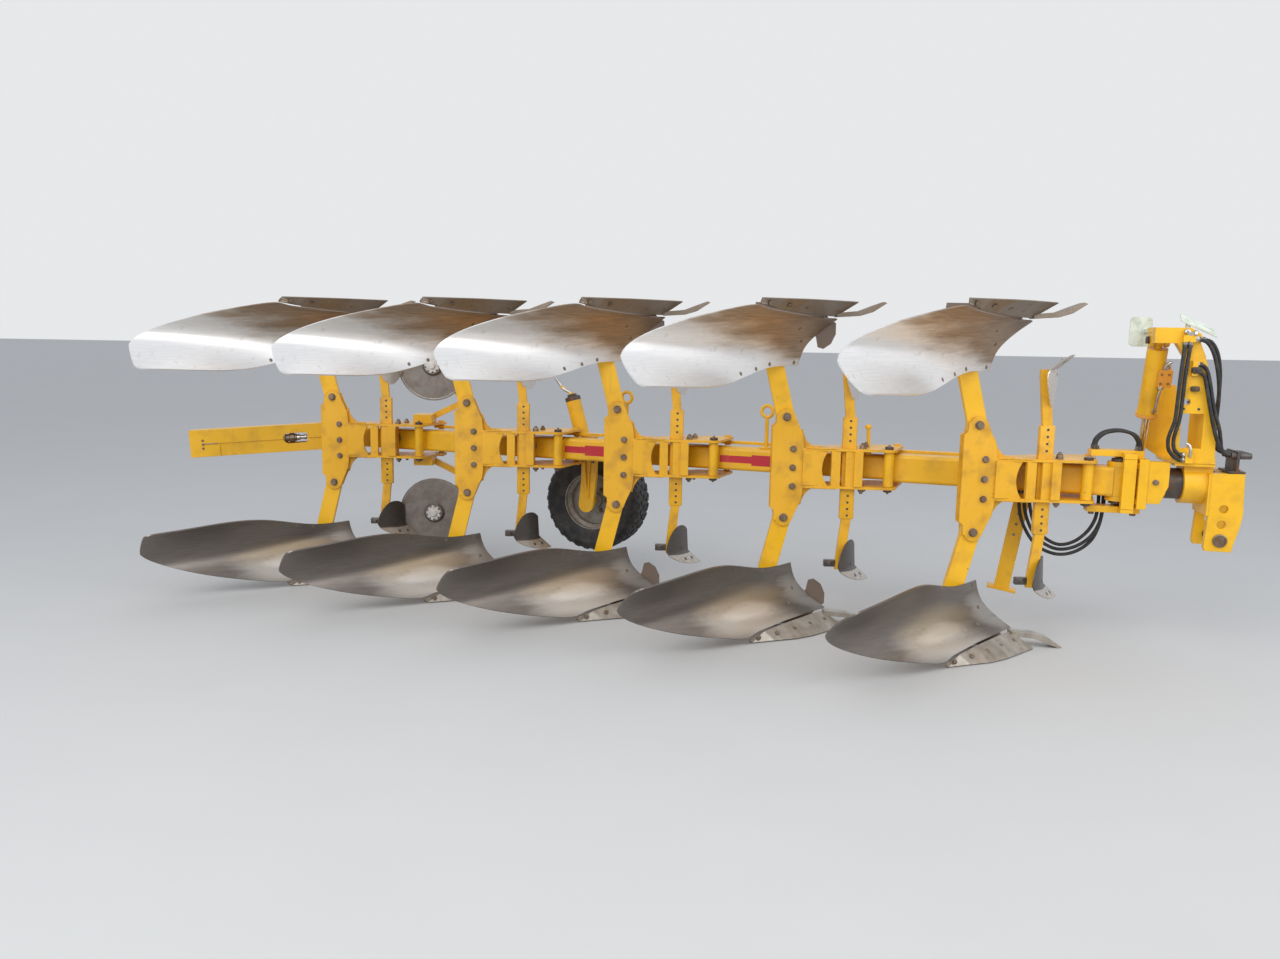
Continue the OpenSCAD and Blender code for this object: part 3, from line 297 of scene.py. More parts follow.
def board_steel(name, upper):
    """Soil-polished steel with its patina and painted reflection: the upper boards are painted near white for the
    sky they face, the lower boards dark for the ground, with painted highlights. UV holds the distance from the
    shin and the height, in metres.
    """
    n = Nodes(name)
    uv = n.uv()
    along, high = n.axis("X", uv), n.axis("Y", uv)
    streak = n.noise(2.6, 6, (0.8, 5, 1), where=uv)
    fine = n.noise(16, 6, (0.5, 8, 1), where=uv)
    wobble = n.ramp(streak, 0.25, 0.75, -0.075, 0.075)
    if upper:
        # The brown patina ends on a line that comes nearer the edge towards the wing.
        border = n.math("SUBTRACT", 0.345, n.both(along, 0.235))
        depth = n.math("ADD", n.math("SUBTRACT", border, high), wobble)
        # Near-white base: painted reflection of the sky on the upper boards' face.
        color = n.mix(n.ramp(fine, 0.3, 0.7), (0.93, 0.91, 0.88), (0.84, 0.82, 0.79))
        color = n.mix(n.both(n.ramp(depth, -0.05, 0.08, kind="SMOOTHSTEP"), 0.9), color,
                      n.mix(n.ramp(fine, 0.35, 0.65), (0.41, 0.27, 0.145), (0.26, 0.175, 0.11)))
        # Deeper in, the patina turns darker brown, with painted shade where the face turns down.
        color = n.mix(n.both(n.ramp(depth, 0.12, 0.24), 0.6), color, (0.17, 0.125, 0.1))
    else:
        # Dark grey-brown base: the steel with its patina, painted darker as the shade of the ground that the lower
        # face mirrors.
        color = n.mix(n.ramp(fine, 0.3, 0.7), (0.235, 0.205, 0.18), (0.18, 0.157, 0.138))
        shin = n.ramp(n.math("ADD", along, n.both(wobble, 1.2)), 0.2, 0.04, kind="SMOOTHSTEP")
        color = n.mix(n.both(shin, 0.35), color, (0.4, 0.37, 0.33))
        # Painted highlights, and one golden-brown patch, laid on as soft ellipses
        for (middle, level), (wide, tall), tone, strength in LOWER_HIGHLIGHTS_AND_TINT:
            dx = n.math("DIVIDE", n.math("SUBTRACT", n.math("ADD", along, wobble), middle), wide)
            dz = n.math("DIVIDE", n.math("SUBTRACT", n.math("ADD", high, n.both(wobble, 0.3)), level), tall)
            far = n.math("ADD", n.math("MULTIPLY", dx, dx), n.math("MULTIPLY", dz, dz))
            color = n.mix(n.both(n.ramp(far, 1, 0, kind="SMOOTHSTEP"), strength), color, tone)
    rim = n.ramp(n.noise(24, 7, where=uv), 0.58, 0.7)
    color = n.mix(n.both(rim, 0.16), color, (0.22, 0.13, 0.08))
    n.bump(n.noise(60, 3, (0.15, 3, 1), where=uv), 0.05)
    return n.finish(color, n.ramp(streak, 0.3, 0.7, 0.3, 0.42), 0.8)


# Heights above the ground between which the shares change from bright to brown, in metres
BROWN_SHARES = (1.2, 1.25)


def share_steel():
    n = Nodes("share_steel")
    edge = n.soften(0.004)
    streak = n.noise(18, 6, (1, 1, 0.2))
    color = n.mix(n.ramp(streak, 0.3, 0.7), (0.47, 0.43, 0.37), (0.3, 0.26, 0.21))
    color = n.mix(n.both(n.ramp(n.axis("Z"), *BROWN_SHARES), 0.75), color, (0.2, 0.145, 0.1))
    rusty_edge = n.both(edge, n.ramp(n.noise(40, 6), 0.4, 0.6))
    rusty = n.math("MAXIMUM", rusty_edge, n.ramp(n.noise(10, 8), 0.64, 0.74))
    color = n.mix(n.both(rusty, 0.7), color, (0.24, 0.12, 0.055))
    n.bump(n.noise(90, 5), 0.25)
    return n.finish(color, n.math("ADD", 0.38, n.both(rusty, 0.35)), 0.55)


def plain_steel(name, a, b, rust, rough, metal, radius=0.002):
    """Steel in two tones, with rust in patches. radius is what its edges are rounded by, in metres."""
    n = Nodes(name)
    edge = n.soften(radius)
    color = n.mix(n.ramp(n.noise(18, 5), 0.35, 0.65), a, b)
    patches = n.both(n.ramp(n.noise(34, 7), 0.5, 0.66), rust)
    color = n.mix(patches, color, RUST)
    color = n.mix(n.both(edge, 0.25), color, (0.45, 0.4, 0.35))
    n.bump(n.noise(160, 3), 0.15)
    return n.finish(color, n.math("ADD", rough, n.both(patches, 0.3)), metal)


def rod_chrome():
    n = Nodes("rod_chrome")
    n.bump(n.noise(300, 2, (1, 1, 0.1)), 0.02)
    color = n.mix(n.noise(30), (0.8, 0.8, 0.79), (0.66, 0.66, 0.66))
    return n.finish(color, n.ramp(n.noise(40), 0.3, 0.7, 0.08, 0.2), 1)


def tyre_rubber(name="tyre_black", dusty=0.7, scale=16):
    n = Nodes(name)
    dust = n.both(n.ramp(n.noise(scale, 7), 0.42, 0.68), dusty)
    color = n.mix(dust, (0.012, 0.012, 0.013), (0.085, 0.075, 0.065))
    n.bump(n.noise(140, 4), 0.2)
    return n.finish(color, n.math("ADD", 0.55, n.both(dust, 0.25)))


def pale_board():
    n = Nodes("pale_board")
    edge = n.soften(0.002)
    color = n.mix(n.ramp(n.noise(22, 7), 0.45, 0.7), (0.66, 0.7, 0.6), (0.4, 0.44, 0.34))
    color = n.mix(n.both(edge, n.ramp(n.noise(60, 4), 0.4, 0.6)), color, (0.3, 0.25, 0.18))
    n.bump(n.noise(120, 3), 0.08)
    return n.finish(color, 0.5)


MATERIALS = {
    "yellow_paint": worn_paint("yellow_paint"),
    "worn_steel": share_steel(),
    "dark_steel": plain_steel("dark_steel", (0.06, 0.058, 0.056), (0.11, 0.1, 0.09), 0.7, 0.42, 0.6),
    "rod_chrome": rod_chrome(),
    "rim_grey": plain_steel("rim_grey", (0.36, 0.345, 0.32), (0.25, 0.23, 0.2), 0.45, 0.52, 0.2),
    "tyre_black": tyre_rubber(),
    "orange_paint": worn_paint("orange_paint", (0.72, 0.31, 0.035), rust=0.4),
    "pale_board": pale_board(),
    "hose_rubber": tyre_rubber("hose_rubber", 0.45, 30),
}
BEAM_PAINT = worn_paint("beam_paint", striped=True)
# A darker, dirtier copy of the yellow paint: painted shade on the brackets, skimmer holders and bracket welds,
# with more rust on the edges.
SHADE_PAINT = worn_paint("bracket_paint", (0.74, 0.38, 0.008), rust=0.8, grime_and_shade=0.6)
BOARD_LOW = board_steel("board_lower", False)
BOARD_HIGH = board_steel("board_upper", True)
DISC_STEEL = plain_steel("disc_steel", (0.3, 0.265, 0.235), (0.23, 0.2, 0.175), 0.25, 0.42, 0.7)
SKIM_STEEL = plain_steel("skimmer_steel", (0.16, 0.14, 0.125), (0.105, 0.092, 0.082), 0.3, 0.36, 0.75)
BRIGHT_STEEL = plain_steel("bright_steel", (0.62, 0.6, 0.57), (0.42, 0.39, 0.35), 0.25, 0.28, 0.9)
PALE_HUB = plain_steel("pale_hub", (0.72, 0.7, 0.66), (0.55, 0.52, 0.48), 0.2, 0.45, 0.2, 0.001)
LEG_PAINT = worn_paint("leg_paint", feet=True)
BOLT_STEEL = plain_steel("bolt_steel", (0.3, 0.24, 0.18), (0.18, 0.13, 0.09), 0.55, 0.42, 0.7, 0.001)
NODE_LOOKS = {"beam": BEAM_PAINT, "disc_lower": DISC_STEEL, "disc_upper": DISC_STEEL,
              **{f"bracket_{i}": SHADE_PAINT for i in range(BODY_COUNT)},
              **{f"legs_{i}": LEG_PAINT for i in range(BODY_COUNT)}}


def dress_frame():
    slots = {s["node"]: s["material_slot"] for s in frame["record"]["subparts"]}
    for name, node in frame["nodes"].items():
        for slot in node.material_slots:
            slot.material = NODE_LOOKS.get(name, MATERIALS[slots[name]])


# Mesh helpers

class Shape:
    """Geometry in millimetres that becomes one piece, riding on one body."""

    def __init__(self, name, body, place, slot, look=None):
        self.name, self.body, self.place = name, body, place
        self.slot, self.material = slot, look or MATERIALS[slot]
        self.bm = bmesh.new()
        self.layer = None

    def mesh(self, points, faces, at=Matrix(), flows=None):
        made = [self.bm.verts.new(self.place @ at @ Vector(p)) for p in points]
        for f in faces:
            face = self.bm.faces.new([made[k] for k in f])
            if flows:
                self.layer = self.layer or self.bm.loops.layers.uv.new("flow")
                for loop, k in zip(face.loops, f):
                    loop[self.layer].uv = flows[k]

    def turned(self, at, profile, sides=24, ring=False):
        """Turns (radius, height) pairs about at's Z axis. A ring's profile closes on itself."""
        n = len(profile)
        points = [(r * x, r * y, h) for x, y in circle(sides) for r, h in profile]
        steps = n if ring else n - 1
        faces = [(k * n + j, (k + 1) % sides * n + j, (k + 1) % sides * n + (j + 1) % n, k * n + (j + 1) % n)
                 for k in range(sides) for j in range(steps)]
        if not ring:
            faces.append([k * n for k in reversed(range(sides))])
            faces.append([k * n + n - 1 for k in range(sides)])
        self.mesh(points, faces, at)

    def stud(self, point, direction, profile, sides=24):
        self.turned(toward(point, direction), profile, sides)

    def prism(self, at, outline, low, high, chamfer=1.5):
        """A plate with its rims chamfered, from an outline that winds round its middle."""
        n = len(outline)
        mid = sum((Vector(p) for p in outline), Vector((0, 0))) / n

        def level(z, inset):
            ring = []
            for p in outline:
                v = Vector(p) - mid
                ring.append((*(mid + v * max(0, 1 - inset / max(v.length, 1e-6))), z))
            return ring

        points = level(low, chamfer) + level(low + chamfer, 0)
        points += level(high - chamfer, 0) + level(high, chamfer)
        faces = [(j * n + k, j * n + (k + 1) % n, (j + 1) * n + (k + 1) % n, (j + 1) * n + k)
                 for j in range(3) for k in range(n)]
        faces += [list(reversed(range(n))), list(range(3 * n, 4 * n))]
        self.mesh(points, faces, at)

    def box(self, at, low, high, chamfer=2):
        (x0, y0, z0), (x1, y1, z1) = low, high
        c = min(chamfer, (x1 - x0) / 3, (y1 - y0) / 3)
        outline = [(x0 + c, y0), (x1 - c, y0), (x1, y0 + c), (x1, y1 - c), (x1 - c, y1), (x0 + c, y1),
                   (x0, y1 - c), (x0, y0 + c)]
        self.prism(at, outline, z0, z1, min(c, (z1 - z0) / 3))

    def tube(self, points, radius, sides=12, fine=6):
        """A round tube on a smooth curve through the points."""
        path = smooth_path([Vector(p) for p in points], fine)
        across = None
        corners = []
        for k, p in enumerate(path):
            ahead = (path[min(k + 1, len(path) - 1)] - path[max(k - 1, 0)]).normalized()
            if across is None:
                across = ahead.orthogonal().normalized()
            across = (across - ahead * across.dot(ahead)).normalized()
            side = ahead.cross(across)
            corners += [p + radius * (across * x + side * y) for x, y in circle(sides)]
        faces = [(k * sides + s, k * sides + (s + 1) % sides,
                  (k + 1) * sides + (s + 1) % sides, (k + 1) * sides + s)
                 for k in range(len(path) - 1) for s in range(sides)]
        faces += [list(reversed(range(sides))), [len(corners) - sides + s for s in range(sides)]]
        self.mesh(corners, faces)

    def bolt(self, point, direction, size, shank=False):
        """A washer and a chamfered hexagon of this size across its flats, with its thread if it shows."""
        at = toward(point, direction, SPINS.uniform(0, pi))
        r = size / sqrt(3)
        self.turned(at, ((size * 0.68, 0), (size * 0.68, size * 0.09), (size * 0.63, size * 0.13)), 20)
        self.turned(at, ((r, size * 0.12), (r, size * 0.58), (r * 0.88, size * 0.68)), 6)
        if shank:
            thread = ((size * 0.3, size * 0.6), (size * 0.3, size * 0.95), (size * 0.22, size * 1.02))
            self.turned(at, thread, 14)

    def weld(self, a, b, radius=4):
        """A bead of overlapping ripples between two points."""
        a, b = Vector(a), Vector(b)
        count = max(4, int((b - a).length / 6))
        for k in range(count):
            at = toward(a + (b - a) * (k + 0.5) / count, b - a)
            wide = radius * SPINS.uniform(0.85, 1.1)
            self.turned(at, ((wide * 0.6, -4), (wide, -1), (wide, 1), (wide * 0.6, 4)), 6)

    def done(self, angle=35, *replaces):
        """Makes the piece. Edges sharper than the angle, in degrees, stay sharp in its shading."""
        bmesh.ops.recalc_face_normals(self.bm, faces=self.bm.faces)
        data = bpy.data.meshes.new(self.name)
        self.bm.to_mesh(data)
        self.bm.free()
        data.shade_smooth()
        data.set_sharp_from_angle(angle=radians(angle))
        data.materials.append(self.material)
        obj = add_object(self.name, data)
        if replaces:
            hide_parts(*replaces)
        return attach(obj, self.body)


def on_body(i, name, slot, look=None):
    """A shape that rides on plough body i."""
    return Shape(f"{name}_{i}", f"plough_body_{i}", BODIES[i], slot, look)


# Turns each bolt and weld bead a little differently
SPINS = random.Random(7)


def circle(count):
    """Evenly spaced points round a circle of radius 1."""
    return [(cos(2 * pi * k / count), sin(2 * pi * k / count)) for k in range(count)]


def toward(point, direction, spin=0):
    """A place at the point whose Z axis has the given direction."""
    m = Vector(direction).to_track_quat("Z", "Y").to_matrix().to_4x4()
    m.translation = Vector(point)
    return m @ rotate(spin, "Z")


def smooth_path(points, fine):
    """Points on a smooth curve through the given ones."""
    path = []
    for k in range(len(points) - 1):
        a, b = points[k], points[k + 1]
        before = points[k - 1] if k else a * 2 - b
        after = points[k + 2] if k + 2 < len(points) else b * 2 - a
        for s in range(fine):
            t = s / fine
            path.append(0.5 * (2 * a + (b - before) * t + (2 * before - 5 * a + 4 * b - after) * t * t
                               + (3 * a - before - 3 * b + after) * t ** 3))
    path.append(points[-1])
    return path


def smooth(rows, x, column=1):
    """A smooth curve through a table's column."""
    k = next((k for k in range(len(rows) - 1) if x <= rows[k + 1][0]), len(rows) - 2)

    def slope(j):
        a, b = max(j - 1, 0), min(j + 1, len(rows) - 1)
        return (rows[b][column] - rows[a][column]) / (rows[b][0] - rows[a][0])

    a, b = rows[k], rows[k + 1]
    wide = b[0] - a[0]
    t = min(1, max(0, (x - a[0]) / wide))
    return ((2 * t ** 3 - 3 * t * t + 1) * a[column] + (t ** 3 - 2 * t * t + t) * wide * slope(k)
            + (3 * t * t - 2 * t ** 3) * b[column] + (t ** 3 - t * t) * wide * slope(k + 1))


# Mouldboards: straight level lines that start on the shin and turn outward with height

# The shin's curve: height above the furrow, place along the body
SHIN = [(0, 340), (40, 293), (90, 240), (145, 165), (200, 102), (250, 62), (302, 41), (350, 30), (460, 0)]

# The board's outline: distance from the shin, height of its lower and upper edge
BOARD_EDGES = [(0, 96, 350), (110, 92, 348), (230, 85, 353), (350, 78, 374), (470, 68, 402), (590, 57, 425),
               (700, 42, 437), (850, 69, 441), (1000, 112, 436), (1120, 160, 431), (1220, 215, 428),
               (1280, 262, 425), (1305, 292, 412)]
BOARD_THICK = 8
BOARD_LENGTH = 1305
SHIN_Y = 60

# Angle of the level lines at the furrow and what the wing adds to it, in degrees
SHARE_ANGLE = 39
WING_TWIST = 10.5
WING_HEIGHT = 414


def board_at(t, z):
    """The board's face at the distance t from the shin and the height z above the furrow."""
    angle = radians(SHARE_ANGLE + WING_TWIST * (max(z, 0) / WING_HEIGHT) ** 3)
    return Vector((smooth(SHIN, z) - t * cos(angle), SHIN_Y - t * sin(angle), z - BEAM_HEIGHT))


def board_behind(t, z, depth):
    """The same point, that deep behind the board's face."""
    up = board_at(t, z + 4) - board_at(t, z - 4)
    out = board_at(t + 4, z) - board_at(t - 4, z)
    return board_at(t, z) - up.cross(out).normalized() * depth


def sheet(shape, columns, rows, point, at):
    """A curved sheet. point(u, v, depth) gives each corner and its flow coordinates."""
    points, flows = [], []
    total = (columns + 1) * (rows + 1)
    for depth in (0, BOARD_THICK):
        for i in range(columns + 1):
            for j in range(rows + 1):
                p, flow = point(i / columns, j / rows, depth)
                points.append(p)
                flows.append(flow)
    faces = []
    for i in range(columns):
        for j in range(rows):
            a = i * (rows + 1) + j
            b = a + rows + 1
            faces.append((a, b, b + 1, a + 1))
            faces.append((total + a, total + a + 1, total + b + 1, total + b))
    edge = [i * (rows + 1) for i in range(columns + 1)]
    edge += [columns * (rows + 1) + j for j in range(1, rows + 1)]
    edge += [i * (rows + 1) + rows for i in range(columns - 1, -1, -1)]
    edge += [j for j in range(rows - 1, 0, -1)]
    for k, a in enumerate(edge):
        b = edge[(k + 1) % len(edge)]
        faces.append((a, b, total + b, total + a))
    shape.mesh(points, faces, at, flows)


def board_point(u, v, depth):
    t = BOARD_LENGTH * u
    low, high = smooth(BOARD_EDGES, t), smooth(BOARD_EDGES, t, 2)
    z = low + (high - low) * v
    return board_behind(t, z, depth), (t / 1000, z / 1000)


# Bolts that show in the board's face: distance from the shin, height
BOARD_BOLTS = ((47, 330), (255, 338), (368, 362), (499, 385), (70, 215), (190, 150))

# The share's corners: (x, y) on its cutting edge, and the places on the board that they rise to
SHARE_EDGE = [(330, -8), (235, -94), (127, -189), (30, -252), (-95, -297), (-218, -344)]
SHARE_SEAM = [(40, 85), (150, 83), (280, 76), (410, 68), (550, 56), (690, 38)]

# Height of that cutting edge, and the gap between the share and the board
SHARE_EDGE_Z = 6
SHARE_GAP = 3


def share_point(k, v):
    """The share's upper face: k counts its corners, v runs from the cutting edge up to the seam."""
    j = min(int(k), len(SHARE_EDGE) - 2)
    ends = []
    for (x, y), (t, z) in zip(SHARE_EDGE[j:j + 2], SHARE_SEAM[j:j + 2]):
        ends.append(Vector((x, y, SHARE_EDGE_Z - BEAM_HEIGHT)).lerp(board_at(t, z - SHARE_GAP), v))
    return ends[0].lerp(ends[1], k - j)


# Profiles of the plough bolts' sunk heads in board, share and landside, and of their nut, as (radius, height)
SUNK_HEAD = ((11, -1), (11, 0.7), (8, 1.4))
SHARE_HEAD = ((12, -2), (12, 0.8), (9, 1.5))
LANDSIDE_HEAD = ((12, -1), (12, 0.7), (9, 1.4))
PLOUGH_NUT = ((15, -1), (15, 12), (12, 15))


def build_boards():
    for i in range(BODY_COUNT):
        for way, at, look in (("lower", Matrix(), BOARD_LOW), ("upper", MIRROR, BOARD_HIGH)):
            skin = on_body(i, f"mouldboard_{way}", "worn_steel", look)
            sheet(skin, 72, 22, board_point, at)
            skin.done(50, f"boards_{i}")
        heads = on_body(i, "board_bolts", "worn_steel", BOLT_STEEL)
        for at in BOTH:
            for t, z in BOARD_BOLTS:
                front, back = board_behind(t, z, 0.5), board_behind(t, z, BOARD_THICK)
                out = (front - back).normalized()
                heads.turned(at @ toward(front, out), SUNK_HEAD, 18)
                heads.turned(at @ toward(back, -out), PLOUGH_NUT, 6)
            for k in range(len(SHARE_EDGE) - 1):
                a, b, c = (share_point(k + x, v) for x, v in ((0.5, 0.6), (0.7, 0.6), (0.5, 0.8)))
                out = (b - a).cross(c - a).normalized()
                out *= 1 if out.z > 0 else -1
                heads.turned(at @ toward(a, out), SHARE_HEAD, 18)
        heads.done()


# Plough bodies: bracket bolts, skimmers and the rear disc coulters

# Outer faces of the bracket's cheeks and top plate and of the landside
CHEEK_FACE = 32.3
PLATE_TOP = 109
LANDSIDE_FACE = 43.8

# The bolt that a leg turns on: x, and its height above or below the beam's middle line
PIVOT = (-34, 275)

# Middle of the skimmer's holder
SKIMMER = Vector((310, -20, 0))

# The skimmer stem's outline below its holder: x and z from the holder's middle
STEM = [(-25, -275), (25, -275), (-1, -520), (1, -560), (-51, -560), (-51, -520)]
STEM_HALF = 12

# How far an upper skimmer board's cap stands past the outline, as a share of its height
UPPER_CAP = 0.26


def skim_point(u, v, depth):
    """The skimmer's board, as part.scad bends it."""
    def at(u, v):
        x = 400 - 235 * u + 26 * sin(pi * u) - 10 * v * (1 - u) + 75 * max(0, 1 - v / 0.4) * (1 - u)
        y = 95 - 280 * u - 18 * sin(pi * u)
        z = -632 + 174 * v + (90 * (1 - v) - 62 * v) * u * u
        return Vector((x, y, z))

    out = (at(u, v + 0.01) - at(u, v - 0.01)).cross(at(u + 0.01, v) - at(u - 0.01, v)).normalized()
    return at(u, v) - out * depth * 0.75, (u, v)


# The skimmer board's outline: place along it, its lower and its upper edge
SKIM_LENGTH = 0.66
SKIM_EDGES = [(0, 0, 1.12), (0.1, 0, 1.26), (0.25, 0, 1.37), (0.4, 0.03, 1.4), (0.52, 0.1, 1.29),
              (0.6, 0.21, 1.08), (0.64, 0.33, 0.88), (0.66, 0.5, 0.66)]


def skim_board(s, r, depth, cap):
    u = SKIM_LENGTH * s
    low, high = smooth(SKIM_EDGES, u), smooth(SKIM_EDGES, u, 2) + cap * sin(pi * s)
    return skim_point(u, low + (high - low) * r, depth)


def skimmer_look(name, upper):
    """The upper boards are painted pale, a painted reflection of the sky, and the lower ones dark, painted shade.
    Below the seam the share is worn bright.
    """
    n = Nodes(name)
    v = n.axis("Y", n.uv())
    fine = n.noise(9, 6, (1, 4, 1), where=n.uv())
    # Pale for painted sky reflection on the upper boards, dark for painted shade on the lower ones
    painted_light_tones = ((0.86, 0.84, 0.8), (0.62, 0.59, 0.55)) if upper else ((0.15, 0.13, 0.115), (0.1, 0.09, 0.08))
    color = n.mix(n.ramp(fine, 0.35, 0.65), *painted_light_tones)
    share = n.ramp(n.math("ADD", v, n.ramp(fine, 0.3, 0.7, -0.01, 0.01)), 0.335, 0.325)
    color = n.mix(share, color, n.mix(n.ramp(fine, 0.4, 0.6), (0.6, 0.56, 0.5), (0.44, 0.38, 0.31)))
    seam = n.both(n.ramp(v, 0.325, 0.335), n.ramp(v, 0.35, 0.34))
    color = n.mix(n.both(seam, 0.8), color, (0.05, 0.04, 0.035))
    n.bump(n.noise(120, 3), 0.08)
    return n.finish(color, 0.36, 0.75)


SKIM_LOW = skimmer_look("skimmer_lower", False)
SKIM_HIGH = skimmer_look("skimmer_upper", True)


def build_skimmer(i):
    node = f"skimmers_{i}"
    holder = on_body(i, "skimmer_holder", "yellow_paint", SHADE_PAINT)
    middle = move(SKIMMER)
    holder.box(middle, (-38, -15, -278), (38, 15, 278), 3)
    points = [(x, y, z) for y in (-STEM_HALF, STEM_HALF) for x, z in STEM]
    n = len(STEM)
    faces = [(k, (k + 1) % n, n + (k + 1) % n, n + k) for k in range(n)]
    faces += [(0, 1, 2, 5), (5, 2, 3, 4), (n, n + 5, n + 2, n + 1), (n + 5, n + 4, n + 3, n + 2)]
    for at in BOTH:
        holder.mesh(points, faces, middle @ at)
    holder.done(30, node)
    for way, at, look, cap in (("lower", Matrix(), SKIM_LOW, 0), ("upper", MIRROR, SKIM_HIGH, UPPER_CAP)):
        skin = on_body(i, f"skimmer_board_{way}", "worn_steel", look)
        sheet(skin, 24, 20, lambda s, r, depth: skim_board(s, r, depth, cap), at)
        skin.done(50, node)
    rest = on_body(i, "skimmer_rest", "dark_steel", SKIM_STEEL)
    rest.box(middle, (-112, -14, -545), (-48, 14, -508), 3)
    rest.bolt(Vector((SKIMMER.x - 82, SKIMMER.y - 14, -527)), NEAR, 20)
    rest.done()
    fixing = on_body(i, "skimmer_fixing", "dark_steel")
    for at in BOTH:
        for z in (150, 186, 222, 258):
            fixing.turned(at @ toward((312, -34.6, -z), NEAR), ((7, -1), (7, 0.4), (5.5, 0.5)), 16)
        for u, v in ((0.12, 0.17), (0.3, 0.17), (0.26, 0.56)):
            p, _ = skim_point(u, v, -0.2)
            q, _ = skim_point(u, v, 8)
            fixing.turned(at @ toward(p, p - q), ((10, -1), (10, 0.4), (7, 1.2)), 16)
            fixing.turned(at @ toward(q, q - p), ((12, -2), (12, 9), (9, 11)), 6)
    fixing.done()


def build_landsides():
    for i in range(BODY_COUNT):
        bolts = on_body(i, "landside_bolts", "worn_steel", BOLT_STEEL)
        for at in BOTH:
            for x, z in ((-170, 76), (-80, 62), (30, 76), (110, 50)):
                bolts.turned(at @ toward((x, LANDSIDE_FACE, z - BEAM_HEIGHT), FAR), LANDSIDE_HEAD, 16)
        bolts.done()


def build_brackets():
    for i in range(BODY_COUNT):
        bolts = on_body(i, "bracket_bolts", "dark_steel", BOLT_STEEL)
        for side in (-1, 1):
            for z in (-102, 0, 102):
                bolts.bolt((7, side * CHEEK_FACE, z), (0, side, 0), 27, side > 0)
            for z in (-1, 1):
                bolts.bolt((PIVOT[0], side * CHEEK_FACE, z * PIVOT[1]), (0, side, 0), 34, side > 0)
        cap = ((19, -1), (19, 3), (8, 5), (7, 9), (3, 13))
        for z in (-1, 1):
            bolts.bolt((385, -20, z * PLATE_TOP), (0, 0, z), 30, True)
            bolts.bolt((420, 60, z * PLATE_TOP), (0, 0, z), 27, True)
            bolts.stud((*BODY_PIN, z * 121.5), (0, 0, z), cap, 20)
        bolts.done()
        beads = on_body(i, "bracket_welds", "yellow_paint", SHADE_PAINT)
        for z in (-1, 1):
            for y in (-1, 1):
                beads.weld((62, y * 7, z * 110), (166, y * 7, z * 110), 5)
            beads.weld((75, y_on_plate(75), z * 108), (240, y_on_plate(240), z * 108), 5)
        for x in (213, 262):
            for z in (94, -94):
                beads.weld((x, -53, z), (x, -33, z), 4)
        beads.done(60)


def y_on_plate(x):
    """The bracket plates' near rim, from the cheek plates to the beam."""
    return -CHEEK_FACE + (x - 50) / 200 * (-60 + CHEEK_FACE)


# The disc coulters on the last body, and the heights of the lower and the upper one
DISC_X = 585
DISC_Y = 112
DISC_LEVELS = {"low": -489, "high": 482}


def build_coulters():
    for which, z in DISC_LEVELS.items():
        body = f"coulter_{which}"
        place = BODIES[-1] @ move((DISC_X, DISC_Y, z)) @ rotate(pi / 2, "X")
        ring = Shape(f"coulter_hub_ring_{which}", body, place, "dark_steel")
        ring.turned(Matrix(), ((66, 2.6), (66, 12), (60, 15), (50, 15), (50, 2.6)), 40)
        for x, y in circle(6):
            ring.bolt((57 * x, 57 * y, 14), UP, 9)
        ring.done()
        hub = Shape(f"coulter_hub_{which}", body, place, "worn_steel", PALE_HUB)
        star = []
        for k in range(9):
            for part, r in ((0, 37), (0.18, 48), (0.55, 50), (0.78, 38)):
                a = 2 * pi * (k + part) / 9
                star.append((r * cos(a), r * sin(a)))
        hub.prism(Matrix(), star, 21, 34, 2)
        hub.turned(Matrix(), ((22, 26), (22, 42), (18, 45), (5, 45)), 24)
        hub.done()
        rim = Shape(f"coulter_bevel_{which}", body, place, "worn_steel", BRIGHT_STEEL)
        bevel = ((228.4, -1.1), (228.4, 1.1), (216, 2.9), (215, 2.5), (215, -2.5), (216, -2.9))
        rim.turned(Matrix(), bevel, 96, True)
        rim.done()


# Depth wheel

# Half the tyre's section, from bead to crown, as (radius, distance from its middle)
HALF_TYRE = ((185, 118), (203, 124), (240, 129), (268, 130), (274, 132), (280, 130), (300, 124), (313, 112),
             (319, 97), (321, 60))

# Tread blocks of each half: corners as (radius, distance from the middle), shift round the tyre as a share
# of the step between blocks, half width
LUG_COUNT = 30
LUGS = ((((300, 126), (319, 112), (325, 96), (315, 92)), 0, 13),
        (((318, 88), (327.4, 84), (327.4, 52), (319, 48)), 0.25, 14),
        (((319, 40), (327.4, 37), (327.4, 8), (319, 4)), 0, 15))


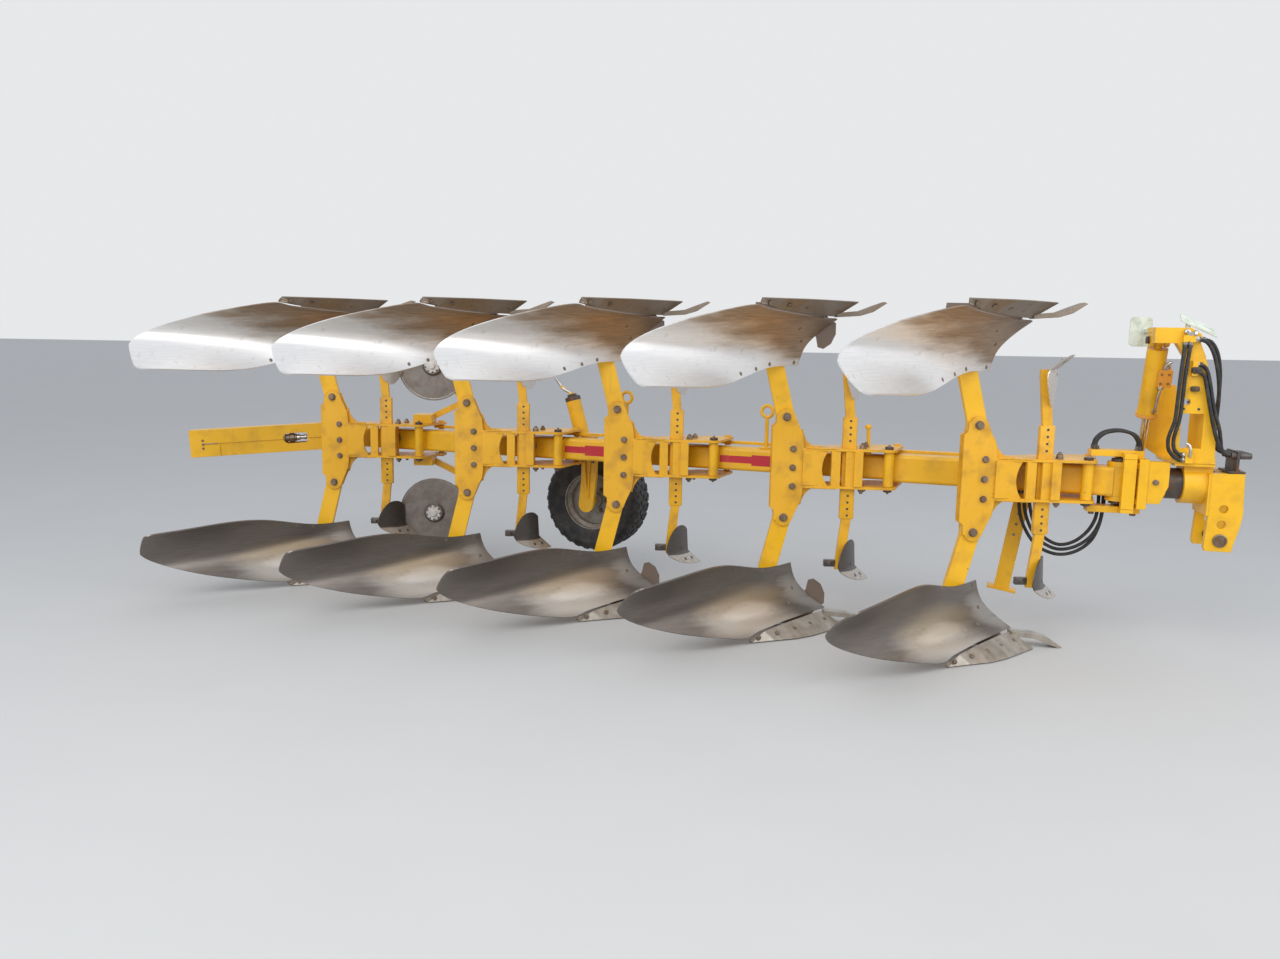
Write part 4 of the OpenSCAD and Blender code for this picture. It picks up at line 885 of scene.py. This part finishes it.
def build_wheel():
    tyre = Shape("tyre", "wheel", WHEEL, "tyre_black")
    profile = [(r, -z) for r, z in HALF_TYRE] + [(r, z) for r, z in reversed(HALF_TYRE)]
    tyre.turned(Matrix(), profile, 60, True)
    for side in (-1, 1):
        for k in range(LUG_COUNT):
            turn = 2 * pi * k / LUG_COUNT
            for corners, shift, wide in LUGS:
                half = 0.5 if side > 0 else 0
                at = rotate(turn + 2 * pi * (shift + half) / LUG_COUNT, "Z")
                points = [(r, y, side * z) for r, z in corners for y in (-wide, wide)]
                tyre.mesh(points, [(0, 2, 3, 1), (2, 4, 5, 3), (4, 6, 7, 5), (0, 6, 4, 2), (1, 3, 5, 7)], at)
    tyre.done(40, "wheel_tyre")
    nuts = Shape("wheel_nuts", "wheel", WHEEL, "dark_steel", BOLT_STEEL)
    for x, y in circle(6):
        nuts.bolt((78 * x, 78 * y, -34.5), DOWN, 22, True)
        nuts.bolt((78 * x, 78 * y, -22.5), UP, 22, True)
    nuts.turned(Matrix(), ((44, 19.5), (44, 32), (36, 41), (0.5, 42)), 32)
    nuts.done()


# Beam, rear arm and wheel arm

def torus(shape, at, big, small):
    shape.turned(at, [(big + small * x, small * y) for x, y in circle(10)], 36, True)


# Lifting eyes on the beam: place along it, height
EYES = ((-1689, 279), (-2552, 327))

# Distance of the welds beside each turn pin from the beam's middle line
PLATE_FACE = BEAM_HALF + 1


def build_beam():
    trim = Shape("beam_trim", "frame", BEAM, "yellow_paint")
    for x, z in EYES:
        torus(trim, toward((x, 0, z), FAR), 33, 10)
        trim.tube([(x, 0, 64), (x, 0, z - 38)], 11)
        trim.box(move((x, 0, 0)), (-34, -34, 64), (34, 34, 76), 3)
    trim.box(Matrix(), (-1128, -52, 64), (-1092, -28, 92), 3)
    trim.tube([(-1110, -40, 88), (-1108, -40, 150), (-1112, -40, 216)], 10)
    trim.stud((-1112, -40, 212), UP, ((16, -2), (18, 4), (18, 14), (12, 20), (2, 22)), 20)
    for i in range(BODY_COUNT):
        x = -FURROW_PITCH * i
        for z in (-61, 61):
            trim.weld((x - 20, -PLATE_FACE, z), (x + 20, -PLATE_FACE, z), 5)
        for side in (-21, 21):
            trim.weld((x + side, -PLATE_FACE, -58), (x + side, -PLATE_FACE, 58), 5)
    trim.weld((-1010, -60, 66), (-1010, 60, 66), 5)
    trim.done(45)
    fix = Shape("beam_fixings", "frame", BEAM, "dark_steel", BOLT_STEEL)
    end = -4 * FURROW_PITCH - 690
    for y in (-66, 66):
        for z in (-66, 66):
            fix.bolt((end, y, z), AHEAD, 20)
    for i in range(BODY_COUNT):
        fix.bolt((-FURROW_PITCH * i - 195, -BEAM_HALF, 10), NEAR, 42)
    for x in (-72, 72):
        for z in (-44, 44):
            fix.bolt((WHEEL_ARM_X + x, 79.5, z), FAR, 24, True)
    fix.done()


# The rear arm's root on the beam, its turn and droop in degrees, and its near face
REAR_ROOT = (-4652.3, -14, 0)
REAR_ANGLE = 34
REAR_DROOP = 3.4
REAR_FACE = -56.5
COUPLING = (-300, -14, 0)


def build_rear_arm():
    joint = BEAM @ move(REAR_ROOT) @ rotate(radians(REAR_ANGLE), "Z")
    arm = joint @ rotate(radians(-REAR_DROOP), "Y")
    bolts = Shape("rear_arm_bolts", "frame", arm, "dark_steel", BOLT_STEEL)
    for z in (-32, -6, 20):
        bolts.bolt((-838, REAR_FACE, z), NEAR, 11)
    bolts.tube([(-832, REAR_FACE - 1, -4), (-742, REAR_FACE - 1, -4)], 3.5, 8)
    sleeve = ((16, -30), (24, -26), (24, -4), (30, 0), (30, 30), (24, 34), (24, 44), (14, 46))
    bolts.stud(COUPLING, AHEAD, sleeve, 8)
    bolts.done()
    rod = Shape("rear_arm_coupling", "frame", arm, "rod_chrome", BRIGHT_STEEL)
    rings = ((12, 44), (19, 46), (19, 66), (13, 68), (13, 92), (17, 94), (17, 106), (8, 108), (8, 134))
    rod.stud(COUPLING, AHEAD, rings, 20)
    rod.done()
    lugs = Shape("rear_arm_lugs", "frame", arm, "yellow_paint")
    for x0, x1 in ((-352, -336), (-186, -166)):
        lugs.box(Matrix(), (x0, -42, -20), (x1, 42, 20), 2)
    lugs.done()


# Thickness of the depth wheel's carrier plate
WHEEL_ARM_T = 30

# The wheel adjuster's tube: its foot on the beam's frame and where its top is from there
ADJUSTER_FOOT = Vector((WHEEL_X - 32, 238, 55))
ADJUSTER = Vector((-71, 0, 242))


def build_wheel_arm():
    fix = Shape("wheel_arm_fixings", "frame", BEAM, "dark_steel", BOLT_STEEL)
    for x in (-30, 30):
        for z, low in ((-36, -96), (36, 36)):
            fix.bolt((WHEEL_ARM_X + x, CARRIER_Y + WHEEL_ARM_T, z), FAR, 22)
            fix.bolt((WHEEL_ARM_X + x, CARRIER_Y - 0.5, low), NEAR, 20)
    fix.done()
    high = ADJUSTER_FOOT + ADJUSTER
    up = ADJUSTER.normalized()
    clamp = Shape("adjuster_clamp", "frame", BEAM, "dark_steel")
    clamp.stud(high - up * 4, up, ((49.5, -16), (49.5, 8), (44, 12), (18, 12), (17, 20)), 36)
    clamp.box(toward(high, up), (-20, -26, 8), (20, 26, 24), 3)
    clamp.done()
    bend = high + Vector((-76, 0, 66))
    crank = Shape("adjuster_crank", "frame", BEAM, "rod_chrome", BRIGHT_STEEL)
    crank.tube([high + up * 20, high + up * 30, bend + Vector((20, 0, -17)), bend,
                bend + Vector((-10, 0, 14)), bend + Vector((-40, 0, 52))], 9.5, 14)
    crank.done(60)
    strut = Shape("wheel_arm_strut", "frame", BEAM, "yellow_paint")
    for top, middle, foot, radius in ((-30, -22, 30, 8), (18, 8, 38, 6)):
        strut.tube([(WHEEL_ARM_X + top, 178, -64), (WHEEL_ARM_X + middle, 172, -150),
                    (WHEEL_X + foot, 176, -330)], radius)
    strut.done(60)


# The parking stand's pin on the beam's frame and its lean in degrees
STAND_PIN = (-292, CARRIER_Y, -118)
STAND_LEAN = 8.5


def build_stand():
    place = BEAM @ move(STAND_PIN) @ rotate(radians(STAND_LEAN), "Y")
    fix = Shape("stand_fixings", "parking_stand", place, "dark_steel", BOLT_STEEL)
    fix.stud((0, 57, 0), FAR, ((22, -46), (22, -2), (19, 2), (1, 2)), 24)
    fix.bolt((0, -20.5, 0), NEAR, 26)
    for z in (-120, -180, -240):
        fix.stud((0, 11.6, z), NEAR, ((8, -1), (8, 7), (6, 7)), 18)
    fix.done()


# Turnover headstock, fork and cylinder

def elbow(shape, points, radius=9):
    """A bent pipe union with a hexagon at its foot."""
    foot = toward(points[0], Vector(points[1]) - Vector(points[0]))
    shape.turned(foot, ((15, -3), (15, 12), (13, 14)), 6)
    shape.tube(points, radius, 14)


# The headstock's near face, the plane of the hoses beside it and the far ends of the tower loops
HEAD_FACE = -110
HOSE_Y = -123
LOOP_FEET = (133, 157)


def build_head():
    bright = Shape("head_unions", "head", AXLE, "rod_chrome", BRIGHT_STEEL)
    elbow(bright, [(234, -123, 740), (232, -124, 756), (222, -124, 762), (214, -124, 752)])
    elbow(bright, [(254, -123, 740), (256, -126, 754), (258, -138, 756), (256, -142, 742)])
    elbow(bright, [(262, -123, 722), (284, -123, 722)], 11)
    elbow(bright, [(292, -80, 722), (316, -80, 722)], 11)
    for x, z, way in ((218, 697, DOWN), (242, 697, DOWN), (286, 600, AHEAD), (286, 562, AHEAD)):
        bright.stud((x, HOSE_Y, z), way, ((13, -9), (13, 2), (11, 3)), 6)
    for z in LOOP_FEET:
        bright.stud((258, HOSE_Y, z), BACK, ((13, -3), (13, 8), (11, 9)), 6)
    bright.tube([(280, -140, 150), (280, -146, 176), (276, -142, 204), (262, -134, 216)], 7, 12)
    bright.done(40)

    clamps = Shape("hose_clamps", "head", AXLE, "dark_steel")
    clamps.box(Matrix(), (258, -145, 556), (300, -109, 588), 4)
    clamps.box(Matrix(), (262, -140, 470), (298, -109, 494), 4)
    clamps.bolt((279, -145, 572), NEAR, 14)
    clamps.bolt((280, -140, 482), NEAR, 14)
    for x, z, radius in ((259, 417, 7), (309, 383, 7), (242, 383, 6)):
        pin = ((radius, -1), (radius, 0.4), (5, 0.6))
        clamps.stud((x, HEAD_FACE - 0.3, z), NEAR, pin, 16)
    for x in (76, 84):
        clamps.stud((x, 0, 715), BACK, ((19, -1), (19, 3), (16, 5)), 20)
    clamps.done()

    bolts = Shape("head_bolts", "head", AXLE, "dark_steel", BOLT_STEEL)
    for x in (300, 380):
        for y in (-92, 150):
            bolts.bolt((x, y, 116.3), UP, 24)
    for y in (-105, -62):
        bolts.bolt((520, y, 84.3), UP, 14)
    for side in (-1, 1):
        collar = ((33, -1), (33, 6), (30, 8), (26, 8), (25, 2))
        bolts.stud((458, side * 112, -263), (0, side, 0), collar, 32)
    bolts.done()

    beads = Shape("head_welds", "head", AXLE, "yellow_paint")
    beads.weld((228, HEAD_FACE - 1, 118), (404, HEAD_FACE - 1, 118), 5)
    beads.weld((339, 60, 118), (339, 96, 118), 5)
    beads.weld((238, 214, 118), (328, 214, 118), 5)
    beads.weld((398, HEAD_FACE + 2, 66), (398, HEAD_FACE + 2, -138), 5)
    beads.done(60)


def build_cylinder():
    union = Shape("cylinder_unions", "barrel", CYLINDER, "rod_chrome", BRIGHT_STEEL)
    elbow(union, [(40, -40, -141), (40, -40, -122), (50, -44, -108), (62, -46, -100)])
    elbow(union, [(60, -5, -141), (60, -5, -126), (66, -8, -114), (74, -10, -108)], 8)
    elbow(union, [(30, -48, -227), (28, -52, -252), (22, -58, -290), (20, -60, -330), (18, -54, -356),
                  (14, -44, -362)], 6)
    union.stud((16, -44, -362), (0.25, -0.97, 0), ((14, -2), (14, 8), (12, 9)), 6)
    union.done(40)
    ring = Shape("cylinder_wiper", "barrel", CYLINDER, "orange_paint")
    ring.turned(Matrix(), ((53.5, -404), (53.5, -388), (52.2, -386), (52, -404)), 48, True)
    ring.done()
    seal = Shape("cylinder_seal", "barrel", CYLINDER, "hose_rubber")
    seal.turned(Matrix(), ((21, -407), (34, -407), (34, -405.2), (21, -405.2)), 36, True)
    seal.done()
    plugs = Shape("valve_plugs", "barrel", CYLINDER, "dark_steel")
    for x, z in ((24, -160), (58, -160), (24, -208), (58, -208)):
        plugs.stud((x, -60, z), NEAR, ((6, -1), (6, 1.5), (3.4, 1.5), (3.4, -0.5)), 16)
    for z in (-168, -200):
        plugs.stud((74, -20, z), AHEAD, ((11, -1), (11, 3), (8, 4)), 6)
    plugs.done()


def build_front():
    bolts = Shape("fork_bolts", "front", AXLE, "dark_steel", BOLT_STEEL)
    bolts.bolt((145, -112, 13), NEAR, 22)
    for z in (-1, 1):
        for x in (-120, 78):
            bolts.bolt((x, 0, z * 160), (0, 0, z), 26)
        bolts.stud((0, 0, z * 114.4), (0, 0, z), ((15, -1), (15, 3), (6, 4), (5, 9), (2, 11)), 20)
    bolts.stud((83.5, 200, 60), BACK, ((22, -1), (22, 5), (19, 7), (1, 7)), 24)
    bolts.done()
    beads = Shape("fork_welds", "front", AXLE, "yellow_paint")
    for z in (-1, 1):
        beads.weld((64, -104, z * 100), (64, 104, z * 100), 5)
        for y in (-115, 85):
            beads.weld((-6, y + 1, z * 127), (52, y + 1, z * 127), 5)
    beads.weld((109, -111, -90), (109, -111, 110), 5)
    beads.done(60)


# Hoses: smooth tubes on the routes of part.scad

LOOPS = [
    [(218, -123, 690), (213, -132, 640), (206, -141, 540), (203, -142, 440), (199, -140, 330),
     (183, -136, 262), (178, -133, 226), (187, -129, 179), (215, -125, 145), (244, -123, 133)],
    [(242, -123, 690), (237, -128, 640), (229, -132, 540), (226, -134, 440), (222, -134, 340),
     (207, -132, 262), (203, -131, 228), (209, -128, 188), (229, -125, 163), (244, -123, 157)],
]
RACKED = [
    [(278, -123, 722), (318, -122, 704), (352, -116, 650), (380, -106, 560), (398, -90, 460), (404, -70, 360),
     (407, -50, 290), (416, -30, 226), (436, -16, 182), (480, -10, 160)],
    [(310, -80, 722), (350, -76, 706), (384, -66, 650), (406, -50, 560), (416, -30, 460), (420, -6, 360),
     (421, 10, 290), (428, 20, 228), (446, 26, 184), (480, 30, 160)],
    [(298, -123, 600), (322, -123, 580), (340, -124, 530), (358, -124, 450), (378, -124, 370),
     (404, -124, 290), (420, -106, 236), (440, -74, 186), (480, -50, 160)],
    [(298, -123, 562), (318, -124, 540), (332, -130, 480), (350, -132, 400), (370, -132, 320),
     (392, -130, 250), (416, -120, 204), (440, -104, 174), (480, -90, 160)],
]
RACK_STARTS = (262, 292, 282, 282)
COUPLER = ((13, 0), (17, 2), (17, 26), (15, 28), (15, 40), (17, 42), (17, 66), (16, 68), (16, 84), (14.5, 92),
           (9, 92), (9, 80))
BEAM_LOOPS = [
    ((106, 84), [(98, -76), (98, -150), (90, -245), (54, -340), (-20, -405), (-110, -425), (-204, -390),
                 (-268, -310), (-306, -210), (-320, -70)]),
    ((80, 84), [(100, -76), (99, -150), (88, -235), (50, -315), (-22, -375), (-106, -395), (-188, -362),
                (-244, -295), (-280, -200), (-296, -70)]),
    ((82, 84), [(74, -76), (74, -150), (64, -225), (28, -295), (-32, -350), (-102, -370), (-172, -340),
                (-222, -280), (-254, -190), (-268, -70)]),
]
ARCH = [(82, 176), (78, 206), (48, 242), (-16, 258), (-82, 246), (-120, 212), (-130, 176)]
HOSE_R = 9


def crimp(shape, point, direction):
    """A hose's ferrule with two crimped rings, from its end inwards."""
    rings = ((9.5, 0), (11.5, 1), (11.5, 5), (10.6, 6), (10.6, 8), (11.5, 9), (11.5, 13), (10.6, 14),
             (10.6, 16), (11.5, 17), (11.5, 21), (9.5, 22))
    shape.stud(point, direction, rings, 18)


def build_hoses():
    hoses = Shape("head_hoses", "head", AXLE, "hose_rubber")
    ends = Shape("head_hose_ends", "head", AXLE, "dark_steel")
    for k, route in enumerate(LOOPS):
        hoses.tube(route, HOSE_R, 16, 8)
        crimp(ends, (*route[0][:2], 705.5), DOWN)
        crimp(ends, (261.7, HOSE_Y, LOOP_FEET[k]), BACK)
    for k, route in enumerate(RACKED):
        hoses.tube(route, HOSE_R, 16, 8)
        crimp(ends, (RACK_STARTS[k] + 0.3, *route[0][1:]), AHEAD)
        ends.stud((476, route[-1][1], 160), AHEAD, COUPLER, 28)
    hoses.done(60, "tower_hoses")
    ends.done(40, "tower_hoses")

    hoses = Shape("beam_hose_loops", "frame", BEAM, "hose_rubber")
    ends = Shape("beam_hose_ends", "frame", BEAM, "dark_steel")
    for (y0, y1), route in BEAM_LOOPS:
        hoses.tube([(x, y0 + (y1 - y0) * k / 9, z) for k, (x, z) in enumerate(route)], HOSE_R, 16, 8)
        crimp(ends, (route[0][0], y0, -60.3), DOWN)
        crimp(ends, (route[9][0], y1, -55.3), DOWN)
    hoses.done(60, "beam_hoses")
    ends.done(40, "beam_hoses")

    hoses = Shape("fork_hose_arches", "front", AXLE, "hose_rubber")
    ends = Shape("fork_hose_ends", "front", AXLE, "dark_steel")
    for y in (-24, 0, 24):
        hoses.tube([(x, y, z) for x, z in ARCH], HOSE_R, 16, 10)
        crimp(ends, (82, y, 160.3), UP)
        crimp(ends, (-130, y, 160.3), UP)
    hoses.done(60, "fork_hoses")
    ends.done(40, "fork_hoses")


# Floor and light

def build_stage():
    bpy.ops.mesh.primitive_plane_add(size=300, location=(0, 0, -0.001))
    floor = bpy.context.object
    floor.name = "floor"
    n = Nodes("floor")
    n.finish(n.mix(n.noise(1.5), (0.5, 0.5, 0.49), (0.53, 0.53, 0.52)), 0.9)
    floor.data.materials.append(n.material)

    world = bpy.data.worlds.new("studio")
    bpy.context.scene.world = world
    world.use_nodes = True
    tree = world.node_tree
    choice = tree.nodes.new("ShaderNodeMixShader")
    lit, seen = tree.nodes["Background"], tree.nodes.new("ShaderNodeBackground")
    looks = ((lit, (0.88, 0.92, 1, 1), 0.8), (seen, (0.8, 0.81, 0.82, 1), 1))
    for k, (back, color, strength) in enumerate(looks):
        back.inputs["Color"].default_value = color
        back.inputs["Strength"].default_value = strength
        tree.links.new(back.outputs[0], choice.inputs[k + 1])
    path = tree.nodes.new("ShaderNodeLightPath")
    tree.links.new(path.outputs["Is Camera Ray"], choice.inputs[0])
    tree.links.new(choice.outputs[0], tree.nodes["World Output"].inputs["Surface"])

    for name, where, size, power in (
        ("key", (-3, -6, 6), 6, 420),
        ("fill", (5, -4, 4), 5, 160),
    ):
        data = bpy.data.lights.new(name, "AREA")
        data.size = size
        data.energy = power
        lamp = add_object(name, data)
        lamp.location = where
        lamp.rotation_euler = (Vector((0, 0, 0.8)) - Vector(where)).to_track_quat("-Z", "Y").to_euler()


set_view()
dress_frame()
build_boards()
for i in range(BODY_COUNT):
    build_skimmer(i)
build_landsides()
build_brackets()
build_coulters()
build_wheel()
build_beam()
build_rear_arm()
build_wheel_arm()
build_stand()
build_head()
build_cylinder()
build_front()
build_hoses()
build_stage()
